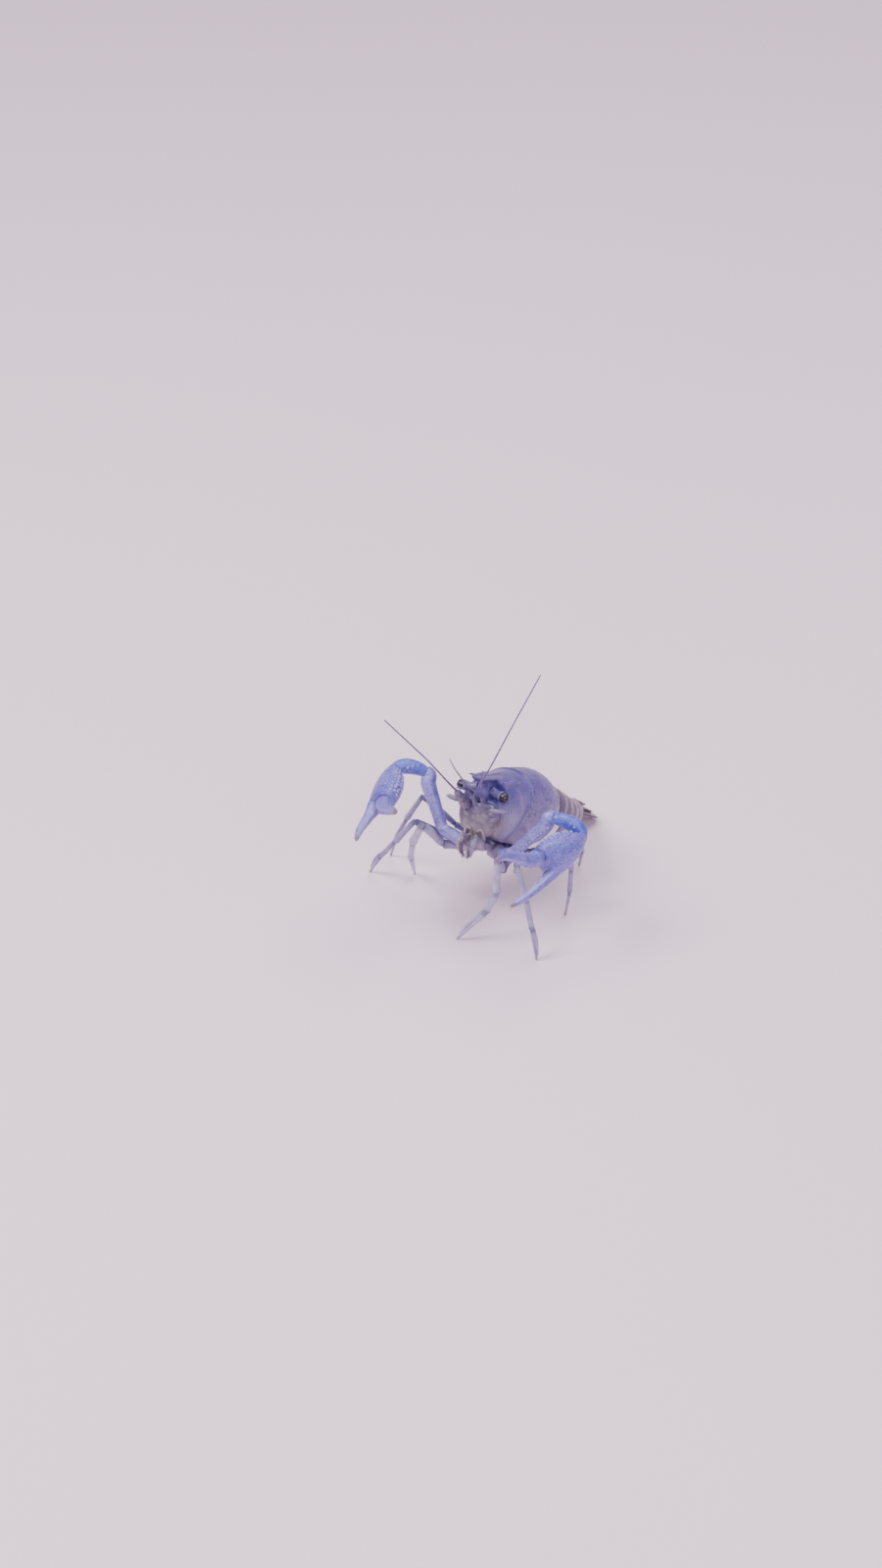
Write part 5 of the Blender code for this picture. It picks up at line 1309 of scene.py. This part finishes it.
def fanPlate(name, node, root, turn, slope, rows, kind):  # the telson or a lobe beside it
    back, across, up = tailAxes(slope, turn)
    steps, wide, keel = tail["fanSteps"], tail["fanSides"], tail["keels"][kind]
    rings = []
    outline = []
    last = rows[-1][0]
    for r in range(steps + 1):
        s = rows[0][0] + (last - rows[0][0]) * r / steps
        half, thick = read(rows, s, 1), read(rows, s, 2) * 0.9
        base = root + back * s
        crown = keel * min(1.0, half / 3.0)
        upper, lower = [], []
        for i in range(wide + 1):
            x = 1 - 2 * i / wide
            rib = 0.22 * bell(x, 0.1)
            if kind == "telson":
                rib = 0.14 * bell(abs(x) - 0.45, 0.12) - 0.1 * bell(x, 0.2)
            cut = 0.18 * bell(s - rows[0][0] - last * 0.62, 0.16) if kind != "inner" else 0.0
            ray = 0.03 * math.cos(x * 34) * ease(s, last * 0.66, last * 0.75)
            edge = 1 - abs(x) ** 4
            upper.append((x, (thick / 2 + crown * (1 - abs(x)) + rib - cut + ray) * edge + 0.1 * thick))
            lower.append((-x, -thick / 2 * (1 - abs(x) ** 4) - 0.1 * thick))
        rings.append([base + across * (x * half) + up * y for x, y in upper + lower[1:-1]])
        outline.append((base, half))
    clay = Clay()
    tip = root + back * (last + 0.12)
    clay.rings(rings, middles=(None, tip))
    draw = random.Random(len(node))
    for _ in range(tail["fringe"]):                           # the hair fringe round the free edge
        x = draw.uniform(-1.0, 1.0)
        base, half = outline[steps]
        if abs(x) > 0.6:
            base, half = outline[int(steps * draw.uniform(0.45, 0.98))]
            place = base + across * (math.copysign(half * 0.97, x))
            way = (back + across * math.copysign(0.9, x)).normalized()
        else:
            place = base + across * (x / 0.6 * half * 0.97)
            way = (back + across * x * 0.8).normalized()
        way = (way + up * draw.uniform(-0.04, 0.12)).normalized()
        clay.hair(place - way * 0.2, way, draw.uniform(0.6, 1.0))
    if kind == "telson":
        for hand in hands.values():
            place = root + back * 6.5 + across * hand * 3.75 + up * 0.1
            clay.bump(place, back + across * hand * 0.3, 0.28, 1.0, "spine", 10)
    else:
        for k in range(7 if kind == "outer" else 1):
            x = -0.75 + 0.25 * k if kind == "outer" else 0.0
            s = last * (0.62 if kind == "outer" else 0.93)
            place = root + back * s + across * x * read(rows, s) + up * (0.45 + keel * (1 - abs(x)))
            clay.bump(place, back + up * 0.2, 0.14, 0.6, "spine", 7)
    clay.ground()

    def paint(p, normal):
        q = p - root
        s, b = q.dot(back), q.dot(across)
        half = max(read(rows, s), 0.3)
        x = abs(b) / half
        rim = ease(x, 0.78, 0.97) + ease(s, last - 1.4, last - 0.3)
        hair = ease(x, 1.0, 1.06) + ease(s, last - 0.1, last + 0.2)
        dark = (0.6 * min(rim, 1.0) + 0.4 * bell(s - last * 0.62, 0.3) * (kind != "inner")
                + 0.25 * bell(x, 0.12))
        pale = 0.35 * (1 - min(rim, 1.0)) * (0.7 + 0.6 * noise.noise(p * 0.5)) + 0.3 * min(hair, 1.0)
        return max(pale, 0.0), min(dark, 0.8) * (1 - 0.7 * min(hair, 1.0)), 0.12 + 0.3 * min(hair, 1.0)
    makePiece(name, clay, tailCoat, [node], paint)


for index in range(6):
    makeTailRing(index)
tailEnd = tailFrames()[-1]
backEnd, acrossEnd, upEnd = tailAxes(tailEnd[1], tailEnd[2])
fanPlate("telsonPlate", "telson", tailEnd[0] - upEnd * tail["telsonUnder"], tail["fanTurn"],
         tail["fanSlope"], tail["telson"], "telson")
for kind, side, turn, under, flatter in tail["fanLobes"]:
    for name, hand in hands.items():
        root = tailEnd[0] + acrossEnd * (hand * side) - upEnd * under + backEnd * (gap + tail["lobeBack"])
        fanPlate("fan" + kind.title() + name.title(), "tail_fan_{}_{}".format(kind, name), root,
                 tail["fanTurn"] - hand * turn, tail["fanSlope"] - flatter, tail["lobe"], kind)
print("tail made")


# eyes and feelers

feelers = dict(
    root=(37.1, 4.4, -0.9),
    knee={"left": Vector((3.6, -5.5, 46.5)), "right": Vector((-4.9, -2.8, 47.2))},
    path={"left": ((3.8, -7.3, 51.6), (9.4, -7.6, 63.2), (16.0, -6.0, 79.0), (22.9, -3.5, 95.6)),
          "right": ((-5.7, -7.2, 53.0), (-7.4, -15.0, 63.6), (-9.3, -24.0, 74.8), (-11.0, -32.8, 85.6))},
    small={"left": (((2.9, -2.0, 49.8), (4.4, -4.6, 55.4), (6.6, -7.4, 60.6)),
                    ((2.0, -3.6, 49.6), (1.6, -8.2, 54.4), (1.8, -13.6, 58.6))),
           "right": (((-2.4, -2.4, 50.8), (-3.5, -5.8, 56.6), (-3.9, -8.6, 61.8)),
                     ((-1.2, -4.0, 49.4), (-0.2, -9.2, 53.6), (1.2, -14.6, 56.6)))},
    base=(  # the second and third length below an antenna: share, half width, half thickness
        ((0.45, 1.32, 1.28), (0.62, 1.26, 1.2), (0.66, 1.1, 1.05)), ((0.6, 1.02, 0.98), (0.8, 1.1, 1.05))),
    smallBase=((0.4, 0.7, 0.65), (0.7, 0.82, 0.75), (1.0, 0.6, 0.55)),
    rings=130, smallRings=46,
    scale=(  # along the blade, half width, thickness
        (0.0, 0.8, 0.8), (1.2, 1.2, 0.8), (3.5, 1.55, 0.75), (6.0, 1.3, 0.7), (7.6, 0.7, 0.6),
        (8.6, 0.2, 0.4)),
    scaleHairs=70, smallRoot=(37.1, 1.35, 0.2), fork=(40.6, 1.7, 2.6),
)
eyes = dict(
    size=1.6, root=(36.6, 2.42, 4.7), centre=(37.6, 7.1, 4.1), sag=0.15,
    stalk=(  # share of the length, half width, half height
        (0.0, 1.3, 1.25), (0.12, 1.3, 1.22), (0.3, 1.22, 1.16), (0.45, 1.2, 1.17),
        (0.6, 1.29, 1.27), (0.74, 1.44, 1.42), (0.86, 1.52, 1.5)),
)


def makeEye(name, hand):
    root, centre = onSide(eyes["root"], hand), onSide(eyes["centre"], hand)
    out = (centre - root).normalized()
    side = forward.cross(out).normalized()
    clay = Clay()
    stations = [(root.lerp(centre, t) - upward * (eyes["sag"] * math.sin(math.pi * t)), wide, tall)
                for t, wide, tall in eyes["stalk"]]

    def shape(u, t):  # soft folds near the root and a notch where the eye's cap begins
        folds = 0.025 * math.sin(u * 26) * (1 - ease(u, 0.3, 0.6))
        return 1 + folds + 0.04 * math.cos(2 * t) - 0.05 * bell(u - 0.66, 0.05)
    clay.limb(stations, side, 40, 44, 2.0, (0.0, 0.3), shape)

    def paint(p, normal):
        run = (p - root).dot(out)
        # the second term darkens the side facing down: painted shade
        dark = 0.35 * bell(run - 2.9, 0.35) + 0.3 * ease(-normal.dot(upward), 0.2, 0.9)
        return 0.12 * bell(run - 3.9, 0.4) + 0.15 * ease(noise.noise(p * 0.9), 0.0, 0.4), dark, 0.1
    makePiece("eyestalk" + name.title(), clay, shellCoat, ["eyestalk_" + name], paint)
    clay = Clay()
    size = eyes["size"]
    clay.ball(centre, (size, size, size * 0.98), (side, out.cross(side), out), 48, 32)
    makePiece("eye" + name.title(), clay, eyeCoat, ["eye_" + name])


def beads(count, depth):  # a fine ring at each joint of a feeler
    return lambda u, t: 1 + depth * (abs(math.sin(math.pi * count * u)) - 0.6)


def makeAntenna(name, hand):
    root = onSide(feelers["root"], hand)
    knee = feelers["knee"][name]
    way = (knee - root).normalized()
    path = [Vector(p) for p in feelers["path"][name]]
    turn = bendPlane(root, knee, path[0])
    clay = Clay()
    clay.limb([(root - forward * 0.3, 1.6, 1.5), (root + forward * 0.9, 1.75, 1.65),
               (root + way * 2.4, 1.7, 1.6), (root + way * 3.4, 1.45, 1.4),
               (root + way * 3.7, 1.25, 1.2)], sideways, 30, 26, 2.3)
    second, third = feelers["base"]
    clay.limb([(root + way * 3.0, 1.2, 1.15), *between(root, knee, second)], sideways, 28, 20, 2.3)
    clay.limb([*between(root, knee, third), (knee - turn * 0.5, 0.98, 0.94),
               (knee - turn * 0.2, 0.75, 0.72)], sideways, 26, 20, 2.3)
    spine = root + way * 2.2 + sideways * hand * 1.3 - upward * 0.4
    clay.bump(spine, way + sideways * hand * 0.3, 0.4, 1.3, "spine", 10)

    def basePaint(p, normal):
        s = (p - root).dot(way)
        # a painted highlight: paler near the end of the first length, on the side facing outward
        paintedHighlight = 0.55 * bell(s - 3.1, 0.35) * ease(normal.dot(sideways) * hand, -0.2, 0.6)
        bands = 0.5 * bell(s - 3.8, 0.35) + 0.4 * bell(s - 6.6, 0.4)
        return 0.14 + paintedHighlight, bands, 0.35 * ease(-normal.dot(upward), 0.1, 0.9)
    makePiece("antennaBase" + name.title(), clay, feelerCoat, ["antenna_base_" + name], basePaint)

    clay = Clay()
    knots = [(i, *p) for i, p in enumerate([knee + turn * gap / 2, knee + turn * 1.6] + path)]
    stations = []
    for i in range(45):
        t = i / 44
        x = t * (len(knots) - 1)
        radius = 0.38 - 0.2 * t**0.7
        stations.append((readSpot(knots, x), radius, radius))
    count = feelers["rings"]
    clay.limb(stations, sideways, 12, count * 4, 2.0, (0.1, 0.1), beads(count, 0.22))
    makePiece("antenna" + name.title(), clay, feelerCoat, ["antenna_" + name],
              lambda p, normal: (0.0, 0.25 * ease(p.z, 50, 90), 0.0))


def makeAntennule(name, hand):
    clay = Clay()
    root, fork = onSide(feelers["smallRoot"], hand), onSide(feelers["fork"], hand)
    clay.limb([(root, 0.85, 0.8), (root + forward * 0.9, 0.95, 0.9), (root.lerp(fork, 0.45), 0.85, 0.8)],
              sideways, 20, 16)
    clay.limb(between(root, fork, feelers["smallBase"]), sideways, 20, 16)
    count = feelers["smallRings"]
    for small in feelers["small"][name]:
        p, q, r = (Vector(v) for v in small)
        clay.limb([(fork - (fork - root).normalized() * 0.4, 0.30, 0.30), (fork.lerp(p, 0.5), 0.28, 0.28),
                   (p, 0.26, 0.26), (p.lerp(q, 0.5), 0.23, 0.23), (q, 0.2, 0.2), (r, 0.13, 0.13)],
                  sideways, 10, count * 4, 2.0, (0.1, 0.1), beads(count, 0.2))
    makePiece("antennule" + name.title(), clay, feelerCoat, ["antennule_" + name], palePaint(0.12))


def makeScale(name, hand):  # the flat blade beside an antenna's base
    side = (sideways * hand + upward * 0.45).normalized()
    over = forward.cross(side)

    def centreAt(s, half):
        return onShell(36.6 + s, hand * (7.1 + 0.35 * half), -0.4 + 0.12 * s)

    clay = Clay()
    rings = []
    for i in range(40):
        s = 8.6 * i / 39
        half, thick = read(feelers["scale"], s, 1), read(feelers["scale"], s, 2)
        ring = []
        for t in circle(28):
            height = thick / 2 * math.sin(t) * (1 + 0.4 * bell(math.cos(t) - 0.55, 0.2))
            ring.append(centreAt(s, half) + side * (half * math.cos(t)) + over * height)
        rings.append(ring)
    clay.rings(rings)
    draw = random.Random(seeds["scale"])
    for _ in range(feelers["scaleHairs"]):                    # on the blade's inner edge
        s = draw.uniform(1.5, 8.2)
        half = read(feelers["scale"], s, 1)
        clay.hair(centreAt(s, half) - side * half * 0.95,
                  (forward - side * 0.8).normalized(), draw.uniform(0.6, 1.1))
    # the blade is painted pale, partly its own colour and partly a painted highlight; the brighter stripe
    # along its thick outer rib is a painted highlight
    makePiece("antennaScale" + name.title(), clay, feelerCoat, ["antenna_scale_" + name],
              lambda p, normal: (0.42 + 0.2 * bell(shellPlace(p)[1] * hand - 8.4, 0.35), 0.0, 0.0))


for name, hand in hands.items():
    makeEye(name, hand)
    makeAntenna(name, hand)
    makeAntennule(name, hand)
    makeScale(name, hand)
print("eyes and feelers made")


# floor, light and camera

studio = dict(
    floor=(0.86, 0.67, 0.82), floorRough=0.8, floorSize=6.0, sky=(0.86, 0.84, 0.88), skyPower=0.5,
    lens=108.0, sensor=36.0, frame=(900, 1600), distance=1.3714, azimuth=30.0, elevation=33.0,
    aim=(1.4, 0.0, 38.26), aimPixel=(490, 835),                # the place aimed at, and where it shows
    lampAim=(0, 0, 0.03),
    lamps=(  # place and size in metres, power, colour
        ("key", (-0.45, -0.55, 0.95), 0.5, 15.0, (1.0, 0.97, 0.97)),
        ("fill", (0.85, -0.60, 0.60), 0.7, 7.0, (0.96, 0.94, 1.0)),
        ("top", (0.10, 0.35, 1.10), 0.8, 10.0, (1.0, 0.96, 0.98)),
    ),
)


def makeStage():
    mesh = bpy.data.meshes.new("floor")
    half = studio["floorSize"] / 2
    corners = [(-half, -half, 0), (half, -half, 0), (half, half, 0), (-half, half, 0)]
    mesh.from_pydata(corners, [], [(0, 1, 2, 3)])
    floor = bpy.data.objects.new("floor", mesh)
    bpy.context.scene.collection.objects.link(floor)
    made = bpy.data.materials.new("pale_floor")
    made.use_nodes = True
    nodes, links = made.node_tree.nodes, made.node_tree.links
    grain = nodes.new("ShaderNodeTexNoise")
    grain.inputs["Scale"].default_value = 3.0
    links.new(nodes.new("ShaderNodeTexCoord").outputs["Object"], grain.inputs["Vector"])
    tint = nodes.new("ShaderNodeValToRGB")
    tint.color_ramp.elements[0].color = (*(v * 0.96 for v in studio["floor"]), 1)
    tint.color_ramp.elements[1].color = (*(min(v * 1.04, 1) for v in studio["floor"]), 1)
    links.new(grain.outputs["Fac"], tint.inputs["Fac"])
    shader = nodes["Principled BSDF"]
    links.new(tint.outputs["Color"], shader.inputs["Base Color"])
    shader.inputs["Roughness"].default_value = studio["floorRough"]
    mesh.materials.append(made)
    world = bpy.data.worlds.new("soft_room")
    world.use_nodes = True
    sky = world.node_tree.nodes["Background"]
    sky.inputs["Color"].default_value = (*studio["sky"], 1)
    sky.inputs["Strength"].default_value = studio["skyPower"]
    bpy.context.scene.world = world
    for name, place, size, power, colour in studio["lamps"]:
        lamp = bpy.data.lights.new(name, "AREA")
        lamp.size = size
        lamp.energy = power
        lamp.color = colour
        thing = bpy.data.objects.new(name, lamp)
        thing.location = place
        thing.rotation_euler = (Vector(studio["lampAim"]) - Vector(place)).to_track_quat("-Z", "Y").to_euler()
        bpy.context.scene.collection.objects.link(thing)


def makeCamera():
    turn, lift = math.radians(studio["azimuth"]), math.radians(studio["elevation"])
    toCamera = Vector((math.sin(turn) * math.cos(lift), -math.cos(turn) * math.cos(lift), math.sin(lift)))
    right = Vector((math.cos(turn), math.sin(turn), 0.0))
    top = toCamera.cross(right)
    target = (Vector(studio["aim"]) - origin) * mm
    width, height = studio["frame"]
    focal = studio["lens"] / studio["sensor"] * height
    x, y = studio["aimPixel"]
    heading = -toCamera + right * ((width / 2 - x) / focal) - top * ((height / 2 - y) / focal)
    camera = bpy.data.cameras.new("camera")
    camera.sensor_fit = "VERTICAL"
    camera.sensor_height = studio["sensor"]
    camera.lens = studio["lens"]
    camera.clip_start = 0.01
    thing = bpy.data.objects.new("camera", camera)
    thing.location = target + toCamera * studio["distance"]
    thing.rotation_euler = heading.to_track_quat("-Z", "Y").to_euler()
    bpy.context.scene.collection.objects.link(thing)
    bpy.context.scene.camera = thing


makeStage()
makeCamera()

print("stage made")
